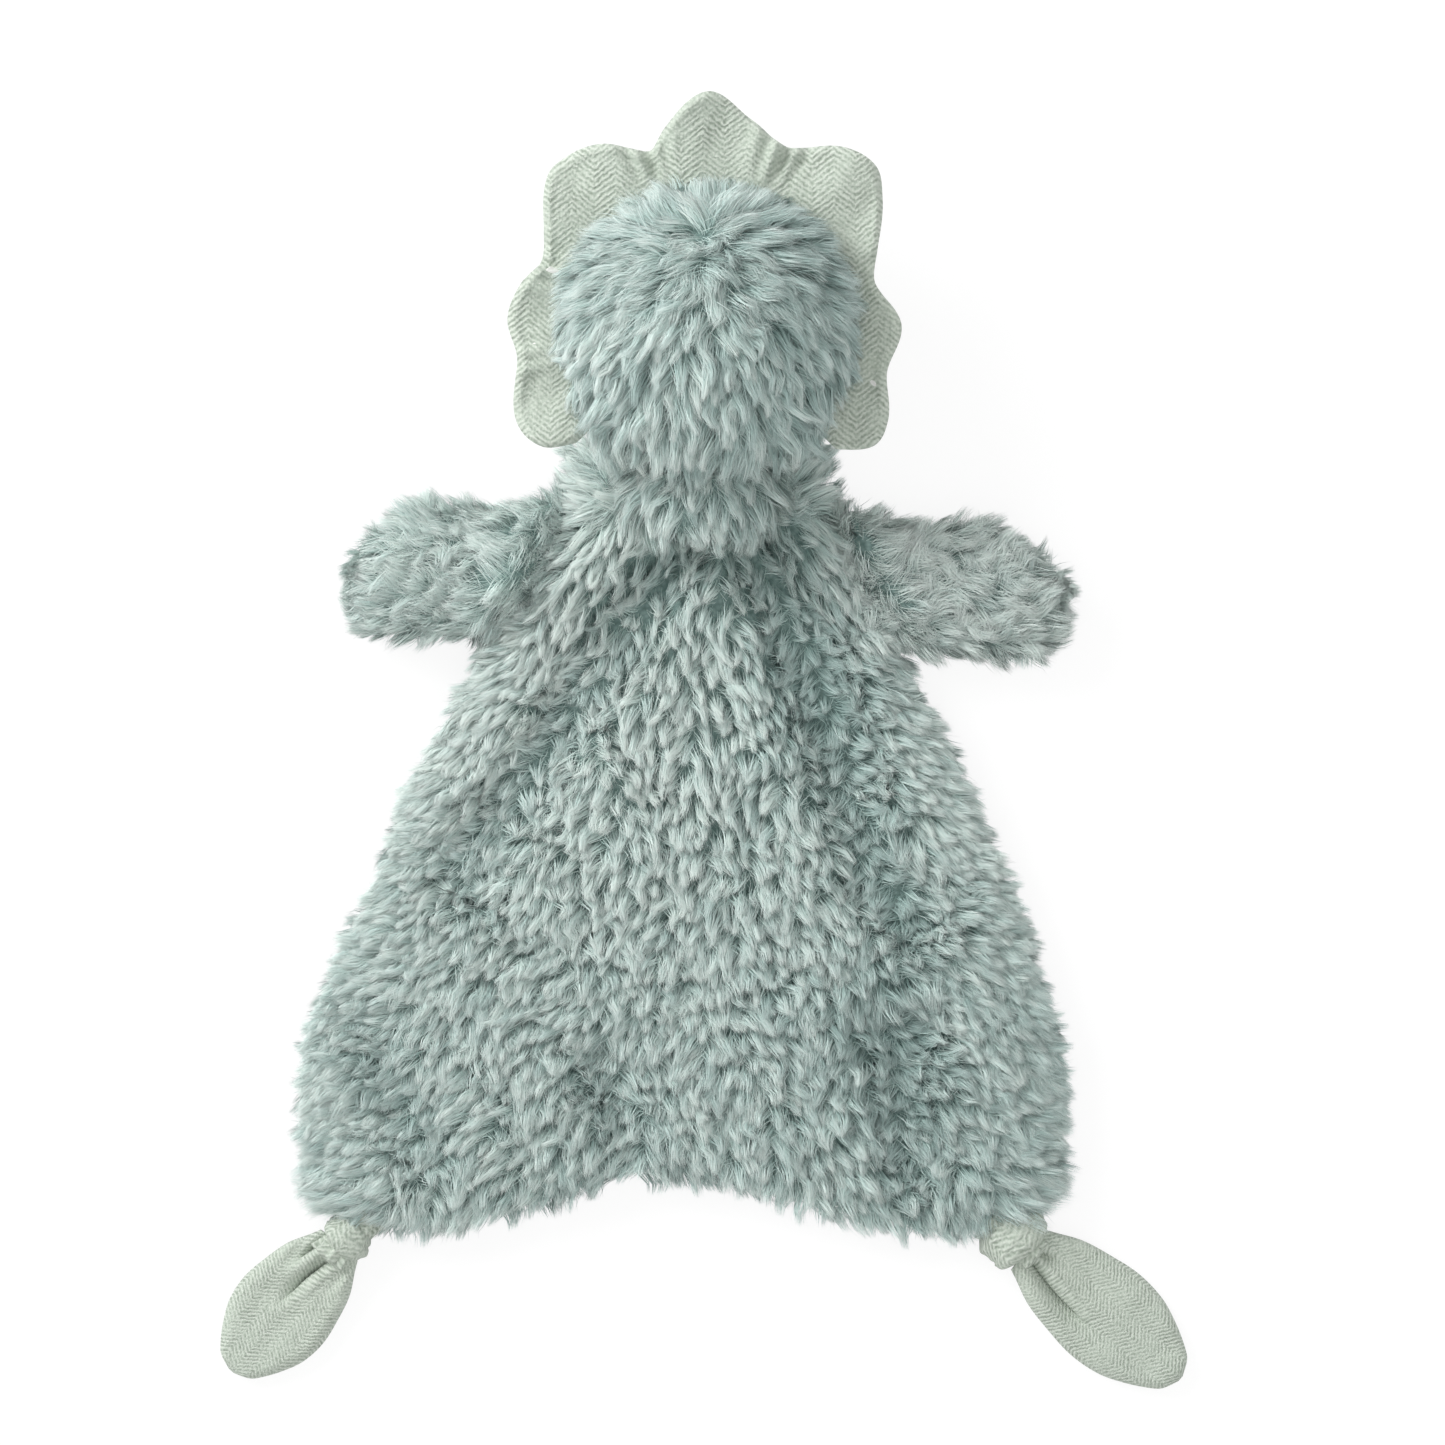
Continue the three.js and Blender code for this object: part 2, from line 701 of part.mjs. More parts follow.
// The gathered corner cloth stays clear of the knot's swing
function knotCutter(place) {
  const radius = knotHalfWidth + 2 * swingGap;
  const post = new THREE.CylinderGeometry(radius, radius, 4 * blanketHeight, steps.ballRound);
  post.rotateX(Math.PI / 2);
  post.translate(place.x, place.y, 0);
  return solidOf(post);
}

{
  const cutters = {
    upper: [neckSocket, ...Object.values(armSeamShares).map(armCutter)],
    lower: Object.values(knotShares).map(blanketPlace).map(knotCutter),
  };
  for (const [half, rows] of Object.entries({ upper: upperRows, lower: lowerRows })) {
    const layers = {
      blanket_back_panel: blanketLayer(rows, steps.blanketAcross, 0, (across, x, y, row) => {
        const top = backTop(across, x, y, row);
        const turned = row.turn ? Math.min(top, blanketHeight - foldRadius * row.turn) : top;
        return [backLow, turned];
      }),
      blanket_lining: blanketLayer(
        rows.filter((row) => row.turn === 0),
        steps.innerAcross,
        liningInset,
        () => [liningLow, liningLow + liningThickness],
      ),
      blanket_front_panel: blanketLayer(rows, steps.innerAcross, 0, (across, x, y, row) => [
        Math.min(foldRadius * row.turn, frontPanelThickness - seamGap),
        frontPanelThickness,
      ]),
    };
    for (const [name, geometry] of Object.entries(layers)) {
      const cut = cutters[half].reduce((solid, cutter) => solid.subtract(cutter), solidOf(geometry));
      const finish = name === "blanket_lining" ? innerCloth : furCloth;
      addPiece(toy, name + "_" + half, geometryOf(cut), finish);
    }
  }
}

// Each arm is a fur tube, closed at its tip, stuffed and sewn into the side seam. Its seam end is
// rounded about the seam line, so that it can lift and drop. Rows are shares along armLength.
const armWidthShares = [
  [0, 0.95],
  [0.18, 1.03],
  [0.37, 1.06],
  [0.55, 0.98],
  [0.75, 0.82],
  [0.88, 0.62],
  [0.96, 0.38],
  [1, 0.16],
];
const armThicknessShares = [
  [0, 0.95],
  [0.3, 1],
  [0.6, 0.97],
  [0.8, 0.82],
  [0.92, 0.56],
  [0.98, 0.3],
  [1, 0.12],
];
const armRootShares = [-0.96, -0.75, -0.4];
const armOutShares = [0, 0.12, 0.3, 0.5, 0.68, 0.82, 0.92, 0.98];
const armFullness = 0.85; // below 1 squares the section's corners
{
  const widthAlong = curveThrough(armWidthShares);
  const thicknessAlong = curveThrough(armThicknessShares);
  const form = (frame, droop, inset) => {
    const ring = (out, half, thickness, shift) =>
      Array.from({ length: steps.armRound }, (_, i) => {
        const angle = (2 * Math.PI * i) / steps.armRound;
        const [cos, sin] = [Math.cos(angle), Math.sin(angle)];
        return new THREE.Vector3(
          out,
          shift + half * Math.sign(cos) * Math.abs(cos) ** armFullness,
          armHeight + thickness * Math.sign(sin) * Math.abs(sin) ** armFullness,
        );
      });
    const shiftAt = (out) => (frame.side * -droop * Math.max(out, 0)) / armLength;
    const root = armRootRadius - inset;
    const reach = armLength - inset;
    const rings = [
      ...armRootShares.map((share) =>
        ring(root * share, armHalfWidth * widthAlong(0) - inset, root * Math.sqrt(1 - share * share), 0),
      ),
      ...armOutShares.map((share) =>
        ring(
          reach * share,
          Math.max(armHalfWidth * widthAlong(share) - inset, inset / 2),
          Math.max(armHalfThickness * thicknessAlong(share) - inset, inset / 2),
          shiftAt(reach * share),
        ),
      ),
    ];
    const pole = (out) => new THREE.Vector3(out, shiftAt(out), armHeight);
    return solidOf(skin(pole(-root), rings, pole(reach)));
  };
  for (const [name, seam] of Object.entries(armSeamShares)) {
    const frame = armFrame(seam);
    const droop = armDroop[name];
    const arm = new THREE.Group();
    arm.position.set(frame.middle.x, frame.middle.y, 0);
    arm.rotation.z = frame.outward;
    const shell = form(frame, droop, 0).subtract(form(frame, droop, armPanelThickness));
    const wide = armLength + armHalfWidth;
    const above = boxSolid([-wide, -wide, armHeight + seamGap / 2], [wide, wide, armHeight + wide]);
    const below = boxSolid([-wide, -wide, armHeight - wide], [wide, wide, armHeight - seamGap / 2]);
    addPiece(arm, name + "_arm_back_panel", geometryOf(shell.intersect(above)), furCloth);
    addPiece(arm, name + "_arm_front_panel", geometryOf(shell.intersect(below)), furCloth);
    const stuffing = form(frame, droop, armPanelThickness + seamGap);
    addPiece(arm, name + "_arm_stuffing", geometryOf(stuffing), fibreFill);
    toy.add(arm);
  }
}

// Each lower corner ends in a strip of woven cloth: gathered, tied in a knot and left as a leaf.
// The knot is the gathered cloth through its middle and the turn of cloth wrapped round it.
const knotCoreOverhang = 2;
const knotWrapRoundness = 1.3;
// Rows are shares along the tail from the knot's middle, and shares of tailHalfWidth.
const tailWidthShares = [
  [0.12, 0.5],
  [0.25, 0.82],
  [0.4, 0.96],
  [0.55, 1.03],
  [0.7, 0.95],
  [0.82, 0.7],
  [0.92, 0.42],
  [1, 0.14],
];
const tailFallShare = 0.42; // share of the tail that slopes down from the knot
const tailCreases = { left: [-0.5, 0.05], right: [0.28] };
const tailCreaseHalfShare = 0.26; // of the tail's half width
{
  const widthAlong = curveThrough(tailWidthShares);
  for (const [name, shares] of Object.entries(knotShares)) {
    const end = new THREE.Group();
    const place = blanketPlace(shares);
    const length = tailLength[name];
    end.position.set(place.x, place.y, 0);
    end.rotation.z = radians(tailAngle[name]);
    const squash = knotHalfHeight / knotHalfWidth;
    const inner = knotHalfWidth - knotWrapThickness;
    const profile = [];
    for (let i = 0; i <= steps.knotProfile; i++) {
      const angle = (Math.PI * i) / steps.knotProfile;
      const bulge = Math.sin(angle) ** (1 / knotWrapRoundness);
      profile.push(new THREE.Vector2(inner + knotWrapThickness * bulge, -knotHalfLength * Math.cos(angle)));
    }
    profile.push(profile[0].clone());
    const wrap = new THREE.LatheGeometry(profile, steps.stuffingRound);
    wrap.rotateZ(-Math.PI / 2);
    wrap.scale(1, 1, squash);
    wrap.translate(0, 0, knotHeight);
    addPiece(end, name + "_knot_wrap", geometryOf(solidOf(wrap)), frillCloth);
    const coreRadius = inner * Math.cos(Math.PI / steps.stuffingRound) - seamGap;
    const core = ballSolid(
      [0, 0, knotHeight],
      [knotHalfLength + knotCoreOverhang, coreRadius, coreRadius * squash - seamGap],
      steps.patchRound,
      steps.stuffingRise,
    );
    addPiece(end, name + "_knot_core", geometryOf(core), frillCloth);
    const start = knotHalfLength + knotCoreOverhang + seamGap;
    const flatMiddle = tailRestHeight + tailLayerThickness + tailCrease / 2;
    const layer = (low, high) => {
      const rows = (offset) =>
        Array.from({ length: steps.tailAlong + 1 }, (_, row) => {
          const out = lerp(start, length, row / steps.tailAlong);
          const half = tailHalfWidth * widthAlong(out / length);
          const fall = THREE.MathUtils.smoothstep(out / length, 0, tailFallShare);
          const middle = lerp(knotHeight, flatMiddle, fall);
          const depth = tailCrease * lerp(1, 1 / 2, fall) * (1 - out / length);
          return Array.from({ length: steps.tailAcross + 1 }, (_, column) => {
            const across = (2 * column) / steps.tailAcross - 1;
            const crease = Math.max(
              ...tailCreases[name].map((at) => Math.exp(-(((across - at) / tailCreaseHalfShare) ** 2))),
            );
            return new THREE.Vector3(out, across * half, middle - depth * crease + offset);
          });
        });
      return slab(rows(high), rows(low));
    };
    const lap = seamGap / 2;
    addPiece(end, name + "_tail_back_layer", layer(lap, lap + tailLayerThickness), frillCloth);
    addPiece(end, name + "_tail_front_layer", layer(-lap - tailLayerThickness, -lap), frillCloth);
    toy.add(end);
  }
}

// The origin is under the middle of the whole toy, on the surface that it lies on.
const bounds = new THREE.Box3().setFromObject(toy, true);
const middle = bounds.getCenter(new THREE.Vector3());
toy.position.set(-middle.x, -middle.y, -bounds.min.z);

export default toy;
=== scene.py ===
import json
import math

import bpy
import numpy as np
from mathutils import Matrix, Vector


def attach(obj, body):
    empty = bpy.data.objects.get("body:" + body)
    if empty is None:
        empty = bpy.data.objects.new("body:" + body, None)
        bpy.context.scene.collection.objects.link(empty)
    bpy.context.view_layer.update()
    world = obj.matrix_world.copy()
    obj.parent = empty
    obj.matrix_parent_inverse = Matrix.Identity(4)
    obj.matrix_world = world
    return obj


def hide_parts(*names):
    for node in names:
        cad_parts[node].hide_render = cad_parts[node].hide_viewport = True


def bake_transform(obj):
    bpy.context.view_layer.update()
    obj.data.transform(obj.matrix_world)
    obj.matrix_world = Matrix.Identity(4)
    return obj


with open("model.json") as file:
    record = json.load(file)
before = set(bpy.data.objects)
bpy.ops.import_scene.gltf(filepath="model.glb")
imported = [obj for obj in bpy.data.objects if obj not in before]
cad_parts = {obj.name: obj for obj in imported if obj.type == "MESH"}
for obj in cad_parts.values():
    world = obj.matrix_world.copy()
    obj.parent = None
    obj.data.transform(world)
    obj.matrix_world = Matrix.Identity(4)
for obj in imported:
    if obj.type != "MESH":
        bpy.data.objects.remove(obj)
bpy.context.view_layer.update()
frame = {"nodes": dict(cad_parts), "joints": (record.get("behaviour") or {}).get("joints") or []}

# The photographer's table: the toy lies on white paper, seen from straight above.
# Soft light comes from the upper left, and the paper throws some of it back.
MM = 0.001


def hex_colour(code):
    """An sRGB colour such as "#A0B4AF" as linear red, green, blue and alpha"""
    parts = [int(code[i : i + 2], 16) / 255 for i in (1, 3, 5)]
    return [c / 12.92 if c <= 0.04045 else ((c + 0.055) / 1.055) ** 2.4 for c in parts] + [1]


def add_node(tree, kind, settings=None, stops=(), **inputs):
    """Adds a shader node. An input is named by its socket, or is i and its number, and is a value or
    another node's output. stops are the places and colours of a colour ramp"""
    node = tree.nodes.new("ShaderNode" + kind)
    for key, value in (settings or {}).items():
        setattr(node, key, value)
    if stops:
        elements = node.color_ramp.elements
        while len(elements) < len(stops):
            elements.new(0.5)
        for element, (at, code) in zip(elements, stops):
            element.position, element.color = at, hex_colour(code)
    for key, value in inputs.items():
        numbered = key[1:].isdigit()
        socket = node.inputs[int(key[1:])] if numbered else node.inputs[key.replace("_", " ")]
        if isinstance(value, bpy.types.NodeSocket):
            tree.links.new(value, socket)
        else:
            socket.default_value = value
    return node


def new_material(name):
    material = bpy.data.materials.new(name)
    material.use_nodes = True
    material.node_tree.nodes.clear()
    return material, material.node_tree


def add_object(name, data):
    obj = bpy.data.objects.new(name, data)
    bpy.context.scene.collection.objects.link(obj)
    return obj


view_centre = Vector((4.3 * MM, 4.7 * MM, 0))
view_width, view_plane = 367.6 * MM, 20 * MM
camera_distance, sensor_width = 3.0, 36
camera = add_object("camera", bpy.data.cameras.new("camera"))
camera.location = view_centre + Vector((0, 0, camera_distance))
camera.data.sensor_width = sensor_width
camera.data.lens = sensor_width * (camera_distance - view_plane) / view_width
bpy.context.scene.camera = camera
bpy.context.scene.view_settings.view_transform = "Standard"

# Seamless paper, overexposed as in the photograph: to the camera most of it is plain white, and the toy
# gets the light of matt paper from it.
paper, tree = new_material("white_paper")
white_share, white_level = 0.82, 1.06
ray = add_node(tree, "LightPath").outputs
straight = add_node(
    tree, "Math", {"operation": "MAXIMUM"}, i0=ray["Is Camera Ray"], i1=ray["Is Glossy Ray"]
)
direct = add_node(
    tree, "Math", {"operation": "MAXIMUM"}, i0=straight.outputs[0], i1=ray["Is Transmission Ray"]
)
share = add_node(tree, "Math", {"operation": "MULTIPLY"}, i0=direct.outputs[0], i1=white_share)
matt = add_node(tree, "BsdfDiffuse", Color=hex_colour("#F4F4F4"))
white = add_node(tree, "Emission", Color=(1, 1, 1, 1), Strength=white_level)
mixed = add_node(tree, "MixShader", i0=share.outputs[0], i1=matt.outputs[0], i2=white.outputs[0])
add_node(tree, "OutputMaterial", Surface=mixed.outputs[0])

floor_half, floor_gap = 3.0, 0.1 * MM
floor = add_object("paper_floor", bpy.data.meshes.new("paper_floor"))
corners = [(x * floor_half, y * floor_half, -floor_gap) for x, y in [(-1, -1), (1, -1), (1, 1), (-1, 1)]]
floor.data.from_pydata(corners, [], [(0, 1, 2, 3)])
floor.data.materials.append(paper)

world = bpy.data.worlds.new("white_room")
world.use_nodes = True
world.node_tree.nodes.clear()
ray = add_node(world.node_tree, "LightPath").outputs
room_level = 0.64
level = add_node(world.node_tree, "MapRange", Value=ray["Is Camera Ray"], To_Min=room_level, To_Max=1.0)
room = add_node(world.node_tree, "Background", Color=(1, 1, 1, 1), Strength=level.outputs[0])
add_node(world.node_tree, "OutputWorld", Surface=room.outputs[0])
bpy.context.scene.world = world

for name, place, size, power in (
    ("window_light", (-0.95, 0.75, 0.85), 0.8, 15.5),
    ("ceiling_light", (0.2, -0.3, 1.6), 1.2, 4),
):
    lamp = add_object(name, bpy.data.lights.new(name, "AREA"))
    lamp.data.size, lamp.data.energy = size, power
    lamp.location = place
    lamp.rotation_mode = "QUATERNION"
    lamp.rotation_quaternion = Vector(place).to_track_quat("Z", "Y")

# The blanket body is two panels of shaggy knitted pile cloth, sewn face to face and turned out.
# It is polyester with 10 mm pile in loose tufts: dull grey green at the root, frosted at the tips.
joint_places = {joint["name"]: Vector(joint["pos_m"]) for joint in frame["joints"]}
neck, fold_place = joint_places["head_turn"], joint_places["blanket_fold"]


def laid(points):
    """Points in millimetres round the foot of the neck, as metres in the model's frame"""
    return np.asarray(points, float) * MM + (neck.x, neck.y, 0)


def curve_through(rows):
    """A smooth curve through (at, value) rows"""
    at, value = np.array(rows, float).T
    slope = np.gradient(value, at)
    slope[1:-1] = (value[2:] - value[:-2]) / (at[2:] - at[:-2])

    def curve(x):
        x = np.clip(x, at[0], at[-1])
        i = np.clip(np.searchsorted(at, x, "right") - 1, 0, len(at) - 2)
        run = at[i + 1] - at[i]
        t = (x - at[i]) / run
        ends = value[i] * (1 + 2 * t) * (1 - t) ** 2 + value[i + 1] * (3 - 2 * t) * t**2
        return ends + slope[i] * run * t * (1 - t) ** 2 - slope[i + 1] * run * t**2 * (1 - t)

    return curve


def smooth(value, low, high):
    """From 0 at low to 1 at high, without a corner"""
    t = np.clip((value - low) / (high - low), 0, 1)
    return t * t * (3 - 2 * t)


def bell(away):
    """1 in the middle, and next to nothing from 2 on"""
    return np.exp(-(away**2))


def unit(vectors):
    return vectors / np.maximum(np.linalg.norm(vectors, axis=-1, keepdims=True), 1e-9)


def grid_of(rows, columns):
    """Every pair of a row's and a column's value, as rows by columns by 2"""
    return np.stack(np.meshgrid(rows, columns, indexing="ij"), -1)


def full_turn(steps):
    return np.linspace(0, 2 * math.pi, steps, endpoint=False)


def make_mesh(name, points, loops, starts, material):
    """A mesh object from points, the corners of its faces in one row, and where each face starts"""
    mesh = bpy.data.meshes.new(name)
    mesh.vertices.add(len(points))
    mesh.vertices.foreach_set("co", np.asarray(points, np.float32).ravel())
    mesh.loops.add(len(loops))
    mesh.loops.foreach_set("vertex_index", np.asarray(loops, np.int32))
    mesh.polygons.add(len(starts))
    mesh.polygons.foreach_set("loop_start", np.asarray(starts, np.int32))
    mesh.update(calc_edges=True)
    mesh.shade_smooth()
    mesh.materials.append(material)
    return add_object(name, mesh)


def grid_mesh(name, points, material, closed=False):
    """A cloth from a grid of points in millimetres, closed where its columns run round a tube"""
    rows, columns = points.shape[:2]
    corner = np.arange(rows * columns).reshape(rows, columns)
    if closed:
        corner = np.hstack([corner, corner[:, :1]])
    quads = np.stack([corner[:-1, :-1], corner[:-1, 1:], corner[1:, 1:], corner[1:, :-1]], -1).reshape(-1, 4)
    return make_mesh(name, laid(points.reshape(-1, 3)), quads.ravel(), np.arange(len(quads)) * 4, material)


def stands_for(piece, slot, *nodes):
    """Hides the solids of the CAD that a piece shows. The piece and its slot are not used"""
    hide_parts(*nodes)


def ripple(points, size, seed):
    """Smooth random values from -1 to 1 over points in the plane, with bumps of about that size"""
    waves = np.random.default_rng(seed)
    count = 9
    total = np.zeros(points.shape[:-1])
    for _ in range(count):
        angle = waves.uniform(0, 2 * math.pi)
        pitch = 2 * math.pi / (size * waves.uniform(0.7, 1.6))
        along = points[..., 0] * math.cos(angle) + points[..., 1] * math.sin(angle)
        total += np.sin(along * pitch + waves.uniform(0, 2 * math.pi))
    return total / (count / 2)


# Polyester pile, extruded matt and brushed: dark between the tufts, where the strands shade each
# other, and frosted at the tips. The map runs from root to tip, and from dark to pale strands.
pile_material, tree = new_material("polyester_pile")
strand_map = add_node(tree, "UVMap", {"uv_map": "OFBake"})
split = add_node(tree, "SeparateXYZ", Vector=strand_map.outputs[0])
pile_shades = [(0.0, "#8EA6A2"), (0.3, "#C6DBD7"), (0.6, "#E4F1EE"), (1.0, "#FBFEFC")]
tone_shades = [(0.0, "#BACAC8"), (0.3, "#E2EEEC"), (0.6, "#F6FBF9"), (1.0, "#FAFFFC")]
ramp = add_node(tree, "ValToRGB", None, pile_shades, Fac=split.outputs["Y"])
tint = add_node(tree, "ValToRGB", None, tone_shades, Fac=split.outputs["X"])
multiply = {"data_type": "RGBA", "blend_type": "MULTIPLY"}
dyed = add_node(tree, "Mix", multiply, i0=1.0, i6=ramp.outputs[0], i7=tint.outputs[0])
shader = add_node(tree, "BsdfPrincipled", Base_Color=dyed.outputs[2], Roughness=0.75, Sheen_Weight=0.2)
add_node(tree, "OutputMaterial", Surface=shader.outputs[0])

fuzz_share = 0.2


def grow_pile(
    name,
    seed,
    surface,
    spots,
    wander,
    comb,
    count=64,
    length=9.5,
    trim=1,
    width=0.16,
    lean=(26, 46, 64),
    stray=17,
    spread=1.35,
    gather=0.76,
    tone=0,
    mottle=0.13,
    pale=0.1,
):
    """Tufts of pile on a surface. surface turns spots into points and normals, in millimetres, wander
    shifts spots by random amounts of about one millimetre, and comb gives the way that the pile lies.
    Each tuft has count strands, which lean by more degrees in each third, spread at the root and
    gather to its tip. They are shaded together, as one soft lock. tone makes its dye paler, mottle
    is how much that varies, and pale leaves out that share of the dark root. Where tone and pale
    are set by place, they also paint light and shade"""
    dice = np.random.default_rng(seed)
    tufts = len(spots)
    # how much one tuft differs from the next: in degrees, apart from its length and tone
    tuft_length = length * dice.uniform(0.78, 1.15, tufts) * trim
    tuft_lean = dice.normal(0, 9, tufts)
    tuft_tone = tone + dice.normal(0, mottle, tufts)
    tuft_swirl = dice.normal(0, stray, tufts)
    tuft_bend = dice.normal(0, 16, tufts)

    def paths(at, tuft, loose):
        points, normals = surface(at)
        way = comb(at, points)
        way = unit(way - (way * normals).sum(-1, keepdims=True) * normals)
        across = np.cross(normals, way)
        n = len(points)
        turn = np.radians(tuft_swirl[tuft] + loose * dice.normal(0, 10, n))
        curl = np.radians(loose * dice.normal(0, 12, n))
        tip = tuft_lean[tuft] + loose * dice.normal(0, 8, n)
        length = tuft_length[tuft] * (1 + loose * dice.uniform(-0.36, 0.08, n))
        rows = [points]
        for j in range(3):
            angle = np.radians(np.clip(lean[j] + tip, 4, 88))[:, None]
            heading = (turn + curl * j + np.radians(tuft_bend[tuft]) * (0, 1, -0.8)[j])[:, None]
            side = way * np.cos(heading) + across * np.sin(heading)
            step = normals * np.cos(angle) + side * np.sin(angle)
            rows.append(rows[-1] + step * (length / 3)[:, None])
        return np.stack(rows, 1), normals, across

    # each tuft has a middle line, and its strands come together on it, apart from some loose fuzz
    middle, _, _ = paths(spots, np.arange(tufts), 0)
    tuft = np.repeat(np.arange(tufts), count)
    strands, normals, across = paths(wander(spots[tuft], spread, dice), tuft, 1)
    gather = gather * np.array([0, 0.35, 0.8, 1])
    fuzz = dice.uniform(0, 1, len(strands)) < fuzz_share
    hold = np.where(fuzz, 0.35, 1.0)[:, None] * gather
    strands += hold[..., None] * (middle[tuft] - strands)
    strands[..., 2] = np.maximum(strands[..., 2], dice.uniform(0.3, 0.9, len(strands))[:, None])

    # a strand is a flat ribbon of two quads and a triangle, with seven corners
    along = unit(strands[:, 2] - strands[:, 1])
    flat = unit(np.cross(along, normals) + 1e-6 * across)
    roll = np.radians(dice.normal(0, 32, len(strands)))[:, None]
    side = flat * np.cos(roll) + np.cross(along, flat) * np.sin(roll)
    thin = np.where(fuzz, 0.65, 1) * dice.uniform(0.8, 1.2, len(strands))
    half = width / 2 * thin[:, None]
    corners = np.empty((len(strands), 7, 3))
    for j, share in enumerate((0.8, 1.0, 0.75)):
        corners[:, 2 * j] = strands[:, j] - side * half * share
        corners[:, 2 * j + 1] = strands[:, j] + side * half * share
    corners[:, 6] = strands[:, 3]
    ring = np.array([0, 1, 3, 2, 2, 3, 5, 4, 4, 5, 6])
    loops = (np.arange(len(strands))[:, None] * 7 + ring).ravel()
    starts = (np.arange(len(strands))[:, None] * 11 + np.array([0, 4, 8])).ravel()
    obj = make_mesh(name, laid(corners.reshape(-1, 3)), loops, starts, pile_material)
    # across the map runs the strand's tone, and up it the way from its root to its tip
    tone = np.clip(0.5 + tuft_tone[tuft] + dice.normal(0, 0.18, len(strands)), 0.02, 0.98)
    tone[:2] = 0.02, 0.98
    u = np.stack([tone - 0.01, tone + 0.01] * 3 + [tone], 1)[:, ring]
    pale = (pale + np.zeros(tufts))[tuft][:, None]
    v = pale + (0.98 - pale) * np.array([0.02, 0.02, 0.34, 0.34, 0.67, 0.67, 1])[ring]
    # the normals round the whole tuft
    away = (strands - middle[tuft]) / 1.5
    away /= np.maximum(np.linalg.norm(away, axis=-1, keepdims=True), 1)
    rounded = unit(0.8 * normals[:, None] + 0.7 * away)[:, [0, 0, 1, 1, 2, 2, 3]]
    obj.data.normals_split_custom_set_from_vertices(rounded.reshape(-1, 3).tolist())
    strand_uv = obj.data.uv_layers.new(name="OFBake")
    strand_uv.data.foreach_set("uv", np.stack([u, v], -1).astype(np.float32).ravel())
    return obj


blanket_length, blanket_half_width = 196, 96.5
blanket_lean, hem_rise = -5.6, 14
fold_down = -(fold_place.y - neck.y) / MM
seam_height, back_height, shoulder_swell, neck_swell = 6.6, 18, 8, 4
cloth_below_pile = 5.4
pile_overhang = 6.5
# the half width as a share of the widest, by share of the way down, and the hem's scallops by how far
# across they are: 1 is pulled up, and 0 hangs down
width_at = curve_through(
    [(0.02, 0.31), (0.1, 0.4), (0.2, 0.5), (0.27, 0.585), (0.36, 0.69), (0.46, 0.775)]
    + [(0.57, 0.87), (0.67, 0.94), (0.77, 1), (0.88, 0.985), (1, 0.93)]
)
hem_at = curve_through(
    [(-1, 0.75), (-0.97, 0.38), (-0.89, 0.12), (-0.78, 0.03), (-0.55, 0.25), (-0.36, 0.62), (-0.15, 0.96)]
    + [(0.06, 1), (0.3, 0.62), (0.45, 0.27), (0.75, 0), (0.89, 0.1), (0.97, 0.35), (1, 0.7)]
)
# soft folds that run down and out from the neck: how deep each is, and its path as shares of the blanket
fold_lines = [
    (1.0, [(-0.04, 0.07), (-0.3, 0.27), (-0.63, 0.51)]),
    (1.15, [(0.07, 0.03), (0.34, 0.3), (0.45, 0.51), (0.55, 0.57)]),
    (0.6, [(-0.84, 0.72), (-0.72, 0.88)]),
    (0.6, [(-0.25, 0.76), (-0.17, 0.88)]),
    (0.85, [(0.51, 0.72), (0.55, 0.88)]),
]
fold_depth, fold_half_width = 9.5, 7.5


def fold_drop(x, y):
    """How far the laid cloth sinks in its soft folds"""
    deepest = np.zeros_like(x)
    for depth, path in fold_lines:
        places = np.array(path) * (blanket_half_width, -blanket_length)
        for start, end in zip(places, places[1:]):
            run = end - start
            share = np.clip(((x - start[0]) * run[0] + (y - start[1]) * run[1]) / (run @ run), 0, 1)
            away = np.hypot(x - start[0] - share * run[0], y - start[1] - share * run[1])
            deepest = np.maximum(deepest, depth * bell(away / fold_half_width))
    return fold_depth * deepest


def blanket_point(spots, side, inset=pile_overhang):
    """Places on a panel of the blanket, from (down, across) rows. side is 1 for the back, -1 for the
    front. The cloth ends short of the outline, and the pile stands out past it"""
    down, across = spots[..., 0], spots[..., 1]
    share = down / blanket_length
    hem_inset = inset + 0.8
    inset_steps = ((0.5, 0.16, 0.3), (0.2, 0.45, 0.6), (-0.6, 0.78, 0.95))
    inset = inset * sum((step * smooth(share, start, end) for step, start, end in inset_steps), 0.1)
    pull = np.clip((down - fold_down) / (blanket_length - fold_down), 0, 1)
    x = blanket_lean * share * (2 - share) + across * (blanket_half_width * width_at(share) - inset)
    to_left = 0.8 * smooth(share, 0.15, 0.25) * (1 - smooth(share, 0.38, 0.45))
    x -= 1.5 * (1 - smooth(share, 0, 0.08)) + to_left
    x += 1.0 * smooth(share, 0.38, 0.5) * (1 - smooth(share, 0.62, 0.75))
    y = -down + pull * (hem_rise * hem_at(across) + hem_inset)
    full = np.sqrt(np.clip(1 - np.abs(across) ** 5, 0, 1)) * np.sqrt(np.clip(1 - share**12, 0, 1))
    full *= np.sqrt(1 - np.clip((4 - down) / 9, 0, 1) ** 2)
    if side > 0:
        swell = shoulder_swell * (1 - smooth(share, 0, 0.2))
        swell += neck_swell * bell(x / 20) * (1 - smooth(share, 0.02, 0.25))
        wave = 1.3 * ripple(np.stack([x, y], -1), 26, 11)
        middle = back_height + swell - fold_drop(x, y) + wave - cloth_below_pile
        z = seam_height + (np.maximum(middle, 8) - seam_height) * full
    else:
        z = seam_height - 0.4 - (seam_height - 3.4) * full
    return np.stack([x, y, z], -1)


